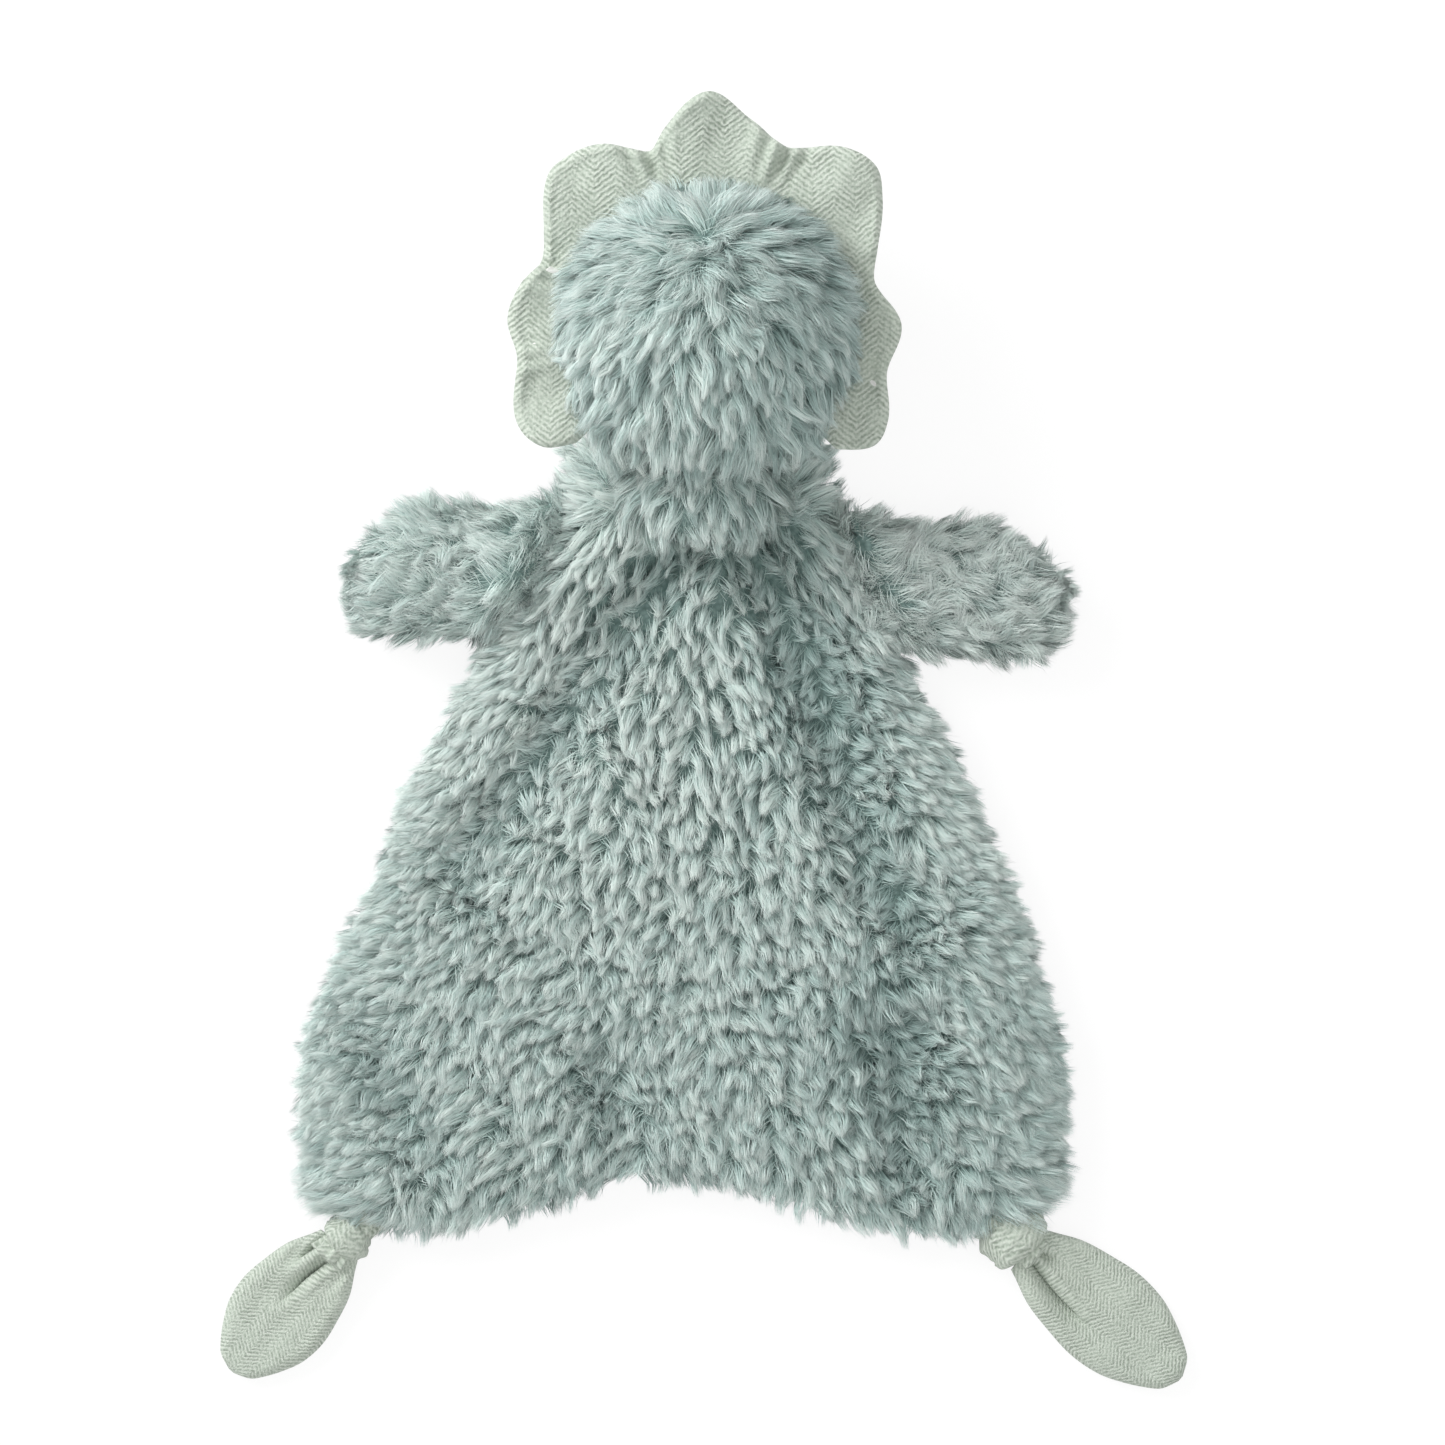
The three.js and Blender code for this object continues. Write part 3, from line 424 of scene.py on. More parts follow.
def blanket_surface(side):
    def surface(spots):
        points = blanket_point(spots, side)
        step = 0.6
        further = blanket_point(spots - (step, 0), side) - points
        inward = np.where(spots[:, 1] > 0, -1, 1)
        aside = blanket_point(spots + np.stack([0 * inward, inward * step / 60], -1), side) - points
        normals = unit(np.cross(aside * inward[:, None], further))
        return points, normals * side

    return surface


def blanket_comb(spots, points):
    """The pile runs down from the neck, fans out to the sides and parts at the folds"""
    x, y = points[:, 0], points[:, 1]
    rim = np.sign(spots[:, 1]) * smooth(np.abs(spots[:, 1]), 0.72, 1)
    heading = np.stack([0.85 * x / blanket_half_width + 0.9 * rim, -np.ones_like(x), 0 * x], -1)
    apart = 2.0
    slope_x = (fold_drop(x + apart, y) - fold_drop(x - apart, y)) / (2 * apart)
    slope_y = (fold_drop(x, y + apart) - fold_drop(x, y - apart)) / (2 * apart)
    heading -= 1.2 * np.stack([slope_x, slope_y, 0 * x], -1)
    shoulder = (1 - smooth(spots[:, 0], 5, 11)) * smooth(np.abs(x), 9, 17)
    heading[:, 1] += 1.7 * shoulder
    heading[:, 0] += 0.2 * shoulder * np.sign(x) * smooth(np.abs(x), 8, 30)
    swirl = 0.36 * ripple(points[:, :2], 38, 3)
    cos, sin = np.cos(swirl), np.sin(swirl)
    turned = [heading[:, 0] * cos - heading[:, 1] * sin, heading[:, 0] * sin + heading[:, 1] * cos, 0 * x]
    return unit(np.stack(turned, -1))


def blanket_wander(spots, spread, dice):
    moved = spots + dice.normal(0, 1, spots.shape) * spread / np.array([1, 60])
    moved[:, 0] = np.clip(moved[:, 0], -4.8, blanket_length - 0.3)
    moved[:, 1] = np.clip(moved[:, 1], -0.995, 0.995)
    return moved


def blanket_spots(apart, seed):
    """Tuft places on one panel, about that many millimetres apart"""
    dice = np.random.default_rng(seed)
    rows = []
    for down in np.append(np.arange(-4.6, blanket_length - 1, apart * 1.06), blanket_length - 0.6):
        half = blanket_half_width * width_at(down / blanket_length) - pile_overhang
        count = int(math.pi * half / apart)
        u = (np.arange(count) + 0.5 + dice.uniform(-0.5, 0.5, count)) / count * 2 - 1
        rows.append(np.stack([down + dice.uniform(-0.5, 0.5, count) * apart, np.sin(u * math.pi / 2)], -1))
    spots = np.concatenate(rows)
    return np.clip(spots, (-4.7, -0.993), (blanket_length - 0.4, 0.993))


def bend_at_fold(piece):
    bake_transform(piece)


def finish_cloth(tree, pattern, stops, roughness, sheen, strength, depth, relief=None):
    """Colours a cloth by its pattern, and raises it by that many millimetres, or sinks it below 0"""
    shades = add_node(tree, "ValToRGB", None, stops, Fac=pattern)
    height = pattern if relief is None else relief
    inwards = {"invert": depth < 0}
    bump = add_node(tree, "Bump", inwards, Strength=strength, Distance=abs(depth) * MM, Height=height)
    shader = add_node(
        tree,
        "BsdfPrincipled",
        Base_Color=shades.outputs[0],
        Roughness=roughness,
        Sheen_Weight=sheen,
        Normal=bump.outputs[0],
    )
    add_node(tree, "OutputMaterial", Surface=shader.outputs[0])


# The backing that carries the pile: fine polyester knit, dyed like the roots, with its darker end painted
# as shade between the tufts. It is matt, and shows only as a dark ground between the tufts. Its loops are
# drawn 1.2 mm wide, as coarse as they need to show.
knit_material, tree = new_material("knitted_polyester_backing")
loop_size = 1.2 * MM
place = add_node(tree, "TexCoord").outputs["Object"]
loops = add_node(tree, "TexVoronoi", {"feature": "F1"}, Vector=place, Scale=1 / loop_size)
knit_dye_and_painted_shade = [(0, "#93ABA6"), (1, "#5F7874")]
finish_cloth(tree, loops.outputs["Distance"], knit_dye_and_painted_shade, 0.9, 0, 0.5, -0.3)

across_steps = np.sin(np.linspace(-1, 1, 61) * math.pi / 2)
neck_steps = (-5, -4.9, -4.5, -3.6, -1.8, 1)
hem_steps = blanket_length * np.array([0.975, 0.99, 1])
down_steps = np.concatenate([neck_steps, np.linspace(4, blanket_length * 0.96, 56), hem_steps])
cloth_grid = grid_of(down_steps, across_steps)
for name, side in (("back", 1), ("front", -1)):
    cloth = grid_mesh(f"blanket_{name}_cloth", blanket_point(cloth_grid, side), knit_material)
    stands_for(cloth, "fur_cloth", f"blanket_{name}_panel_upper", f"blanket_{name}_panel_lower")
    bend_at_fold(cloth)

back_spots = blanket_spots(3.2, 21)
back_x, back_y, _ = blanket_point(back_spots, 1).T
back_down, back_across = back_spots.T
in_fold = fold_drop(back_x, back_y) / fold_depth
# the pile's tone varies at random, and painted shade darkens it in the folds
back_mottle_and_painted_shading = 0.1 * ripple(np.stack([back_x, back_y], -1), 18, 8) - 0.36 * in_fold
# painted shade darkens the pile and its roots beside the right arm, by the lower right corner and towards
# the lower right, and painted light makes them paler up its left side. The roots are paler towards the neck.
painted_shade_by_arm = np.exp(-((back_x - 31) ** 2 + (back_y + 50) ** 2) / 15**2)
painted_light_left_side = (1 - smooth(back_down, 60, 150)) * smooth(-back_x, -25, 20)
painted_shade_by_corner = np.exp(-(((back_x - 38) / 17) ** 2) - ((back_y + 140) / 12) ** 2)
painted_shade_low_right = smooth(back_x, 5, 50) * smooth(back_down, 80, 150)
back_mottle_and_painted_shading += 0.05 + 0.16 * painted_light_left_side - 0.22 * painted_shade_by_arm - 0.26 * painted_shade_by_corner - 0.18 * painted_shade_low_right
at_corner = smooth(back_down, 180, 193) * smooth(np.abs(back_across), 0.8, 0.93)
back_trim = 1 - 0.3 * in_fold + 0.35 * at_corner
back_pale_and_painted_shading = 0.03 + 0.16 * (1 - smooth(back_down, 40, 120)) + 0.24 * painted_light_left_side - 0.12 * painted_shade_by_arm
back_pale_and_painted_shading = np.maximum(back_pale_and_painted_shading, 0)

# Each panel's pile is made in pieces, so that no mesh is too large to keep whole. The numbers are where
# each starts, in millimetres down from the neck, and where the last one ends.
upper_end = 78
back_parts = [("shoulder", -9), ("yoke", 38), ("top", 62), ("middle", 78), ("belly", 98)]
back_parts += [("lap", 118), ("low", 137), ("foot", 156), ("hem", 176), ("end", 400)]
front_parts = [("top", -9), ("belly", 78), ("lap", 118), ("low", 154), ("end", 400)]
front_spots = blanket_spots(4.4, 22)
piles = {"back": [], "front": []}
for panel, side, spots, parts in (
    ("back", 1, back_spots, back_parts),
    ("front", -1, front_spots, front_parts),
):
    for number, ((name, start), (_, end)) in enumerate(zip(parts, parts[1:])):
        here = (spots[:, 0] >= start) & (spots[:, 0] < end)
        if panel == "back":
            look = {"tone": back_mottle_and_painted_shading[here], "pale": back_pale_and_painted_shading[here], "trim": back_trim[here], "mottle": 0.15}
            seed = 31 + number
        else:
            look = {"lean": (56, 74, 86), "count": 48, "spread": 1.7, "width": 0.28}
            seed = 35
        name, surface = f"blanket_{panel}_pile_{name}", blanket_surface(side)
        pile = grow_pile(name, seed, surface, spots[here], blanket_wander, blanket_comb, **look)
        half = "upper" if end <= upper_end else "lower"
        stands_for(pile, "fur_cloth", f"blanket_{panel}_panel_{half}")
        bend_at_fold(pile)
        piles[panel].append(pile)

# The lining between the two panels is plain woven polyester cotton. It is caught in the outer seam
# and keeps the loose body flat.
lining_material, tree = new_material("plain_woven_lining")
# Its warp and weft cross as fine pale squares with little shine. The threads are drawn 1 mm apart.
thread_pitch, band_at_scale_1 = 1.0 * MM, 0.314
place = add_node(tree, "TexCoord").outputs["Object"]
scale = band_at_scale_1 / thread_pitch
warp, weft = (
    add_node(tree, "TexWave", {"bands_direction": way}, Vector=place, Scale=scale).outputs["Fac"]
    for way in "XY"
)
weave = add_node(tree, "Math", {"operation": "MULTIPLY"}, i0=warp, i1=weft).outputs[0]
finish_cloth(tree, weave, [(0, "#C9CCC5"), (1, "#E4E6E0")], 0.9, 0, 0.4, 0.1)

lining_inset, lining_height = 10, 6.9
lining_grid = grid_of(np.linspace(8, blanket_length - 4, 40), across_steps[3:-3])
lining_points = blanket_point(lining_grid, 1, lining_inset)
lining_points[..., 2] = lining_height + 0.25 * ripple(lining_points[..., :2], 14, 5)
lining = grid_mesh("blanket_lining", lining_points, lining_material)
stands_for(lining, "inner_cloth", "blanket_lining_upper", "blanket_lining_lower")
bend_at_fold(lining)


# The head is two panels of the same pile cloth over a ball of fibre. The pile is brushed out from
# the crown, a little above the middle of its back, and hangs over the neck.
head_centre = np.array([1.0, 38.0, 44.0])
head_halves = np.array([39.6, 37.0, 37.0])
head_inset = 5.6
head_skin = head_halves - head_inset
crown = head_centre + np.array([-0.5, 14.7, 33])
muzzle_centre = head_centre + np.array([0, -6, -28])
muzzle_halves = np.array([22.0, 17.0, 16.5])


def ball_surface(centre, halves):
    def surface(spots):
        return centre + spots * halves, unit(spots / halves)

    return surface


def ball_wander(halves):
    def wander(spots, spread, dice):
        return unit(spots + dice.normal(0, 1, spots.shape) * spread / np.mean(halves))

    return wander


def ball_spots(apart, halves, seed):
    """Directions spread evenly over a ball, about that many millimetres apart on its skin"""
    count = int(4 * math.pi * np.mean(halves) ** 2 / apart**2)
    dice = np.random.default_rng(seed)
    step = np.arange(count) + 0.5
    height = 1 - 2 * step / count
    turn = step * math.pi * (3 - math.sqrt(5))
    ring = np.sqrt(1 - height**2)
    even = np.stack([ring * np.cos(turn), ring * np.sin(turn), height], -1)
    return unit(even + dice.normal(0, 0.22, even.shape) * apart / np.mean(halves))


def polar_ways(start, end, rows, columns):
    """Directions in a grid, from one angle off the top to another in degrees, and these two angles"""
    polar, turn = np.meshgrid(np.radians(np.linspace(start, end, rows)), full_turn(columns), indexing="ij")
    way = np.stack([np.sin(polar) * np.cos(turn), np.sin(polar) * np.sin(turn), np.cos(polar)], -1)
    return way, polar, turn


def head_comb(spots, points):
    away = points - crown
    away[:, 1] -= 13
    away[:, 2] *= 0.6
    middle = bell(np.linalg.norm(points - crown - (0, 8, 0), axis=1) / 12)[:, None]
    swirl = (0.4 + 1.1 * middle) * ripple(points[:, :2], 17, 4)[:, None]
    return unit(unit(away) * (1 - 0.5 * middle) + swirl * np.cross(unit(away), spots))


def face_comb(spots, points):
    return unit(points - muzzle_centre + 4 * ripple(points[:, :2], 20, 6)[:, None])


neck_opening = 18.5
head_spots = ball_spots(3.1, head_skin, 41)
head_x, head_y, head_z = head_spots.T
head_places = head_centre + head_spots * head_skin
clear_of_neck = np.linalg.norm(head_places - (0, 0, 30), axis=1) > neck_opening
clear_of_muzzle = np.linalg.norm((head_places - muzzle_centre) / (muzzle_halves - 2), axis=1) > 1
# the pile is longest by the neck and on the jowls. Its roots are paler at the crown; painted light makes
# the left of the head paler away from the neck, and painted shade darkens the right, as the light comes from
# the left
near_neck = smooth(-head_y, 0.35, 0.85)
painted_shade_right = smooth(head_x, -0.1, 0.7)
at_crown = bell(np.linalg.norm(head_places - crown - (0, 8, -2), axis=1) / 13)
jowls = smooth(-head_y, 0.35, 0.65) * smooth(np.abs(head_x), 0.4, 0.65)
head_trim = 1 + 0.25 * near_neck + 0.32 * jowls
head_pale_and_painted_light = (0.18 - 0.16 * painted_shade_right) * (1 - near_neck) + 0.2 * at_crown
back_look = {"tone": 0.02 * at_crown - 0.05 - 0.24 * painted_shade_right, "stray": 17 + 28 * at_crown}
crown_look = {"length": 11, "lean": (42, 62, 76), "gather": 0.6, "mottle": 0.1}
nape_look = {"length": 11, "lean": (36, 57, 74), "gather": 0.82, "mottle": 0.22}
face_look = {"length": 9, "lean": (45, 66, 80), "count": 44}
for name, panel, chosen, comb, look, varied in (
    ("back", "back", (head_z > 0) & (head_y > 0), head_comb, crown_look, back_look),
    ("nape", "back", (head_z > 0) & (head_y <= 0), head_comb, nape_look, back_look),
    ("face", "face", (head_z <= 0) & clear_of_muzzle, face_comb, face_look, {}),
):
    chosen = chosen & clear_of_neck
    varied = varied | {"trim": head_trim, "pale": head_pale_and_painted_light}
    look = look | {key: values[chosen] for key, values in varied.items()}
    surface, wander = ball_surface(head_centre, head_skin), ball_wander(head_skin)
    pile = grow_pile(f"head_{name}_pile", 42, surface, head_spots[chosen], wander, comb, **look)
    stands_for(pile, "fur_cloth", f"head_{panel}_panel")
    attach(pile, "head")
for name, start, end in (("back", 1, 88), ("face", 92, 179)):
    way, _, _ = polar_ways(start, end, 24, 64)
    cloth = grid_mesh(f"head_{name}_cloth", head_centre + way * head_skin, knit_material, closed=True)
    stands_for(cloth, "fur_cloth", f"head_{name}_panel")
    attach(cloth, "head")

# Hollow polyester fibre, blown in as loose clumps: dull white, and quite without shine. It fills the
# head and every other stuffed piece.
fibre_material, tree = new_material("polyester_fibre_fill")
clump_size = 5 * MM
place = add_node(tree, "TexCoord").outputs["Object"]
clumps = add_node(tree, "TexNoise", Vector=place, Scale=1 / clump_size, Detail=6.0, Distortion=1.5)
finish_cloth(tree, clumps.outputs["Fac"], [(0, "#DCDCD8"), (1, "#F6F6F3")], 1.0, 0.3, 0.7, 0.5)


def stuff(node, body, lump, seed):
    """Fibre in the shape that its covers leave, with a lumpy skin"""
    fill = add_object(f"{node}_fibre", frame["nodes"][node].data.copy())
    fill.data.materials.clear()
    fill.data.materials.append(fibre_material)
    remesh = fill.modifiers.new("even", "REMESH")
    remesh.mode = "VOXEL"
    remesh.voxel_size = 1.6 * MM
    remesh.use_smooth_shade = True
    bpy.context.view_layer.objects.active = fill
    bpy.ops.object.modifier_apply(modifier="even")
    count = len(fill.data.vertices)
    points, normals = np.empty(count * 3), np.empty(count * 3)
    fill.data.vertices.foreach_get("co", points)
    fill.data.vertices.foreach_get("normal", normals)
    points, normals = points.reshape(-1, 3), normals.reshape(-1, 3)
    swell = (ripple(points[:, :2] / MM, 7, seed) + ripple(points[:, 1:] / MM, 7, seed + 1)) / 2 - 1
    points += normals * (swell * lump * MM)[:, None]
    fill.data.vertices.foreach_set("co", points.ravel())
    fill.data.update()
    stands_for(fill, "fibre_fill", node)
    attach(fill, body)


stuff("head_stuffing", "head", 1.0, 51)

# The neck is a short sleeve of the pile cloth, gathered by a running thread, round a wad of fibre.
# It lets the head turn, nod and tilt, and the pile of the head and body hides it.
neck_centre = np.array([0.0, 0.0, neck.z / MM])
neck_skin = np.array([15.2, 14.4, 12.0])
gather_count = 18


def neck_comb(spots, points):
    return unit(np.stack([0.5 * spots[:, 0], -np.ones(len(spots)), 0 * spots[:, 0]], -1))


neck_spots = ball_spots(3.6, neck_skin, 61)
neck_spots = neck_spots[(neck_spots[:, 1] < 0.75) & (neck_spots[:, 2] > -0.75)]
neck_length = 8 + 6.5 * np.abs(neck_spots[:, 0]) ** 2
neck_look = {"length": neck_length, "lean": (32, 52, 70), "pale": 0.25, "mottle": 0.18}
surface, wander = ball_surface(neck_centre, neck_skin), ball_wander(neck_skin)
sleeve_pile = grow_pile("neck_sleeve_pile", 62, surface, neck_spots, wander, neck_comb, **neck_look)
turn, along = np.meshgrid(full_turn(72), np.radians(np.linspace(-90, 62, 22)))
gathers = 1 - 0.035 * (1 + np.sin(turn * gather_count)) * bell(along / 0.35)
sleeve_way = np.stack([np.cos(along) * np.cos(turn), np.sin(along), np.cos(along) * np.sin(turn)], -1)
sleeve_points = neck_centre + sleeve_way * gathers[..., None] * (neck_skin + 1.2)
sleeve = grid_mesh("neck_sleeve_cloth", sleeve_points, knit_material, closed=True)
for piece in (sleeve_pile, sleeve):
    stands_for(piece, "fur_cloth", "neck_sleeve")
    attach(piece, "neck")
stuff("neck_stuffing", "neck_filling", 1.5, 63)


def twist_thread(name, path, radius, material, pitch=1.6, closed=False):
    """A twisted thread of two plies along a path, in millimetres"""
    plies, sides = 2, 12
    path = np.asarray(path, float)
    run = np.roll(path, -1, 0) - np.roll(path, 1, 0)
    if not closed:
        run[0], run[-1] = path[1] - path[0], path[-1] - path[-2]
    run = unit(run)
    up = unit(np.cross(run, np.where(np.abs(run[:, 2:]) < 0.8, [[0.0, 0, 1]], [[1.0, 0, 0]])))
    out = np.cross(run, up)
    walked = np.append(0, np.cumsum(np.linalg.norm(np.diff(path, axis=0), axis=1)))
    around = full_turn(sides)
    twist = 2 * math.pi * walked[:, None] / pitch
    reach = radius * (0.82 + 0.18 * np.abs(np.cos(plies * (around + twist / plies))))
    ways = up[:, None] * np.cos(around)[None, :, None] + out[:, None] * np.sin(around)[None, :, None]
    ring = path[:, None] + reach[..., None] * ways
    if closed:
        ring = np.concatenate([ring, ring[:1]])
    return grid_mesh(name, ring, material, closed=True)


def thread_material(name, code, shadow):
    """Twisted polyester thread: its filaments are drawn 0.35 mm wide, and catch a slight shine"""
    material, tree = new_material(name)
    filament = 0.35 * MM
    place = add_node(tree, "TexCoord").outputs["Object"]
    ply = add_node(tree, "TexNoise", Vector=place, Scale=1 / filament, Detail=2.0).outputs["Fac"]
    finish_cloth(tree, ply, [(0, shadow), (1, code)], 0.5, 0.25, 0.4, 0.08)
    return material


# The gathering thread is dyed near the cloth, and the embroidery on the face is nearly black.
pale_thread = thread_material("pale_polyester_thread", "#8DA19B", "#6B807A")
dark_thread = thread_material("dark_embroidery_thread", "#4A5052", "#23282A")
turns = full_turn(160)
gather_way = np.stack([np.cos(turns), 0.02 * np.sin(turns * gather_count), np.sin(turns)], -1)
gather_path = neck_centre + gather_way * (neck_skin + 1.6)
gather_thread = twist_thread("neck_gathering_thread", gather_path, 0.65, pale_thread, closed=True)
stands_for(gather_thread, "pale_thread", "neck_gather_thread")
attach(gather_thread, "neck")

# Each arm is a stuffed tube of the pile cloth, closed at its tip and sewn into the side seam.
# It has a back and a front panel, and its pile is brushed out towards the tip.
LEFT, RIGHT = -1, 1
arm_half_width, arm_half_thickness, arm_height = 19, 11, 11.2
arm_inset, arm_tuft_gap = 5.0, 2.9
arm_width_at = curve_through(
    [(0, 0.95), (0.18, 1.03), (0.37, 1.1), (0.55, 1.09), (0.75, 0.95), (0.88, 0.7), (0.96, 0.4), (1, 0.16)]
)
arm_thickness_at = curve_through(
    [(0, 0.95), (0.3, 1), (0.6, 0.97), (0.8, 0.82), (0.92, 0.56), (0.98, 0.3), (1, 0.12)]
)
# each arm's side, shoulder and armpit as shares of the blanket, droop, length and shade: a paler tone and
# paler roots, painted light
arms = {
    "left": (LEFT, (-0.394, 0.0204), (-0.5596, 0.2092), 16, 42, {"pale": 0.32, "tone": 0.13}),
    "right": (RIGHT, (0.373, 0.0306), (0.5492, 0.2347), 19, 44.5, {"pale": 0.6, "tone": 0.2}),
}
arm_looks = {
    "back": {"length": 8, "lean": (38, 56, 68), "gather": 0.5, "stray": 34},
    "front": {"length": 8.5, "lean": (55, 72, 84)},
}
for number, (name, (side, *seam, droop, arm_length, shade)) in enumerate(arms.items()):
    cloth_length = arm_length - arm_inset
    shoulder, armpit = np.array(seam) * (blanket_half_width, -blanket_length)
    seam_middle, seam_run = (shoulder + armpit) / 2, unit(shoulder - armpit)
    outward = side * np.array([seam_run[1], -seam_run[0]])
    upward = np.array([-outward[1], outward[0]])

    def arm_point(spots, inset=arm_inset):
        """Places on the arm from (out, turn) rows, in millimetres and radians. The tube flattens into
        the seam at its root, droops as it goes out, and is round at its tip"""
        out, turn = spots[..., 0], spots[..., 1]
        reach = arm_length - inset
        inset = inset * (0.35 + 0.65 * smooth(out, 2, 14))
        share = np.clip(out / reach, 0, 1)
        tip = np.sqrt(np.clip(1 - smooth(share, 0.76, 1.02) ** 2, 0, 1))
        half = np.maximum(arm_half_width * arm_width_at(share * 0.72) - inset, 0.4) * tip
        thick = np.maximum(arm_half_thickness * arm_thickness_at(share * 0.72) - inset, 0.3) * tip
        thick *= 0.2 + 0.8 * smooth(out, -8, 3)
        cos, sin = np.cos(turn), np.sin(turn)
        across = half * np.sign(cos) * np.abs(cos) ** 0.9
        along = np.maximum(out, 0) / arm_length
        across -= side * ((droop + 0.5) * along**0.6 - 1.8 * (1 - along) ** 2)
        rise = thick * np.sign(sin) * np.abs(sin) ** 0.9
        sag = 0.5 * ripple(np.stack([out, across], -1), 16, 70 + number)
        plan = seam_middle + out[..., None] * outward + across[..., None] * upward
        return np.concatenate([plan, (arm_height + rise + sag)[..., None]], -1)

    def arm_surface(spots):
        points = arm_point(spots)
        further = arm_point(spots + (0.3, 0)) - arm_point(spots - (0.3, 0))
        aside = arm_point(spots + (0, 0.02)) - arm_point(spots - (0, 0.02))
        normals = unit(np.cross(further, aside))
        middle = seam_middle + spots[:, :1] * outward
        outside = points - np.concatenate([middle, np.full((len(points), 1), arm_height)], 1)
        tip = smooth(spots[:, 0] / cloth_length, 0.86, 1.0)[:, None]
        normals *= np.where((normals * outside).sum(1, keepdims=True) < 0, -1, 1)
        return points, unit(normals * (1 - tip) + tip * np.append(outward, 0) + 0.3 * tip * normals)

    def arm_comb(spots, points):
        way = np.append(outward - 0.25 * side * upward, 0.0)
        swirl = 0.35 * ripple(points[:, :2], 20, 71 + number)[:, None]
        return unit(way + swirl * np.append(upward, 0.0))

    def arm_wander(spots, spread, dice):
        moved = spots + dice.normal(0, 1, spots.shape) * spread * np.array([1, 1 / 12])
        moved[:, 0] = np.clip(moved[:, 0], -9, cloth_length - 0.1)
        return moved

    dice = np.random.default_rng(72 + number)
    arm_rows = []
    for out in np.append(np.arange(-7, cloth_length, arm_tuft_gap), cloth_length - 0.5):
        half = max(arm_half_width * arm_width_at(max(out, 0) / arm_length * 0.85) - arm_inset, 4)
        count = int((4 * half + 16) / arm_tuft_gap)
        turn = (np.arange(count) + dice.uniform(0, 1, count)) / count * 2 * math.pi
        arm_rows.append(np.stack([out + dice.uniform(-2, 2, count), turn], -1))
    arm_spots = np.concatenate(arm_rows)
    on_back = np.sin(arm_spots[:, 1]) > -0.1
    tip_steps = cloth_length * np.array([0.94, 0.97, 0.99, 1])
    out_steps = np.append(np.linspace(-6, cloth_length * 0.9, 22), tip_steps)
    arm_pieces = []
    for panel, chosen, start, end in (("back", on_back, 0, 180), ("front", ~on_back, 180, 360)):
        look, spots = arm_looks[panel] | shade, arm_spots[chosen]
        pile_name = f"{name}_arm_{panel}_pile"
        pile = grow_pile(pile_name, 74 + number, arm_surface, spots, arm_wander, arm_comb, **look)
        points = arm_point(grid_of(out_steps, np.radians(np.linspace(start, end, 25))))
        cloth = grid_mesh(f"{name}_arm_{panel}_cloth", points, knit_material)
        for piece in (pile, cloth):
            stands_for(piece, "fur_cloth", f"{name}_arm_{panel}_panel")
            arm_pieces.append(piece)
    fill_points = arm_point(grid_of(out_steps[2:], full_turn(32)), arm_inset + 1.2)
    fill_points[..., 2] += 0.3 * ripple(fill_points[..., :2], 6, 76)
    fill = grid_mesh(f"{name}_arm_fibre", fill_points, fibre_material, closed=True)
    stands_for(fill, "fibre_fill", f"{name}_arm_stuffing")
    reach = Vector(np.append(outward, 0) * 7 * MM)
    for piece in (*arm_pieces, fill):
        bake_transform(piece)

# The frill is two layers of herringbone cloth round a thin wadding, cut in seven lobes, sewn round
# the rim and turned. Its inner edge is caught in the seam of the head.
frill_reach, frill_middle = 58.7, 44.0
frill_start, frill_end = math.radians(222), math.radians(-44)
# how far the lobes and valleys reach, by the share of the way round, and how deep each valley is pinched
frill_edge_at = curve_through(
    [(0, 0.76), (0.02, 0.88), (0.057, 0.92), (0.12, 0.83), (0.165, 0.86), (0.205, 0.82), (0.237, 0.765)]
    + [(0.27, 0.81), (0.32, 0.94), (0.345, 0.945), (0.38, 0.905), (0.427, 0.79), (0.45, 0.865), (0.497, 1)]
    + [(0.54, 0.905), (0.588, 0.84), (0.638, 0.965), (0.673, 0.995), (0.7, 0.93), (0.745, 0.8)]
    + [(0.782, 0.745), (0.835, 0.835), (0.89, 0.8), (0.94, 0.88), (0.97, 0.885), (1, 0.77)]
)
frill_valleys = [(0.115, 0.5), (0.235, 1.3), (0.425, 1.3), (0.588, 1.5), (0.78, 1.0), (0.885, 0.5)]
frill_half_thickness, wadding_share, wadding_inset = 1.5, 0.3, 3
wave_height, wave_count, lobe_curl = 1.5, 11, 4.5


def rounded_edge(rim):
    """Thickness from 0 at a sewn edge to 1 at a distance of 1 from it, as round as a turned edge is"""
    return np.sqrt(1 - np.clip(1 - rim, 0, 1) ** 2)


def frill_height(turn, out, x, y):
    """The frill ripples in soft waves, and is pinched at the valleys between its lobes"""
    wave = wave_height * out * np.sin(2 * math.pi * wave_count * turn)
    pinch = np.zeros_like(turn)
    for at, depth in frill_valleys:
        for beside, share in ((0, 1.0), (0.019, 0.55), (-0.022, 0.4)):
            away = (turn - at - beside) / 0.007
            pinch += depth * share * (2.3 * bell(away) - 0.8 * bell(np.abs(away) - 2))
    crumple = 0.35 * ripple(np.stack([x, y], -1), 8, 81)
    curl = lobe_curl * out**2 * bell((turn - 0.5) / 0.05)
    return frill_middle + wave + curl - pinch * smooth(out, 0.2, 0.9) + crumple * out


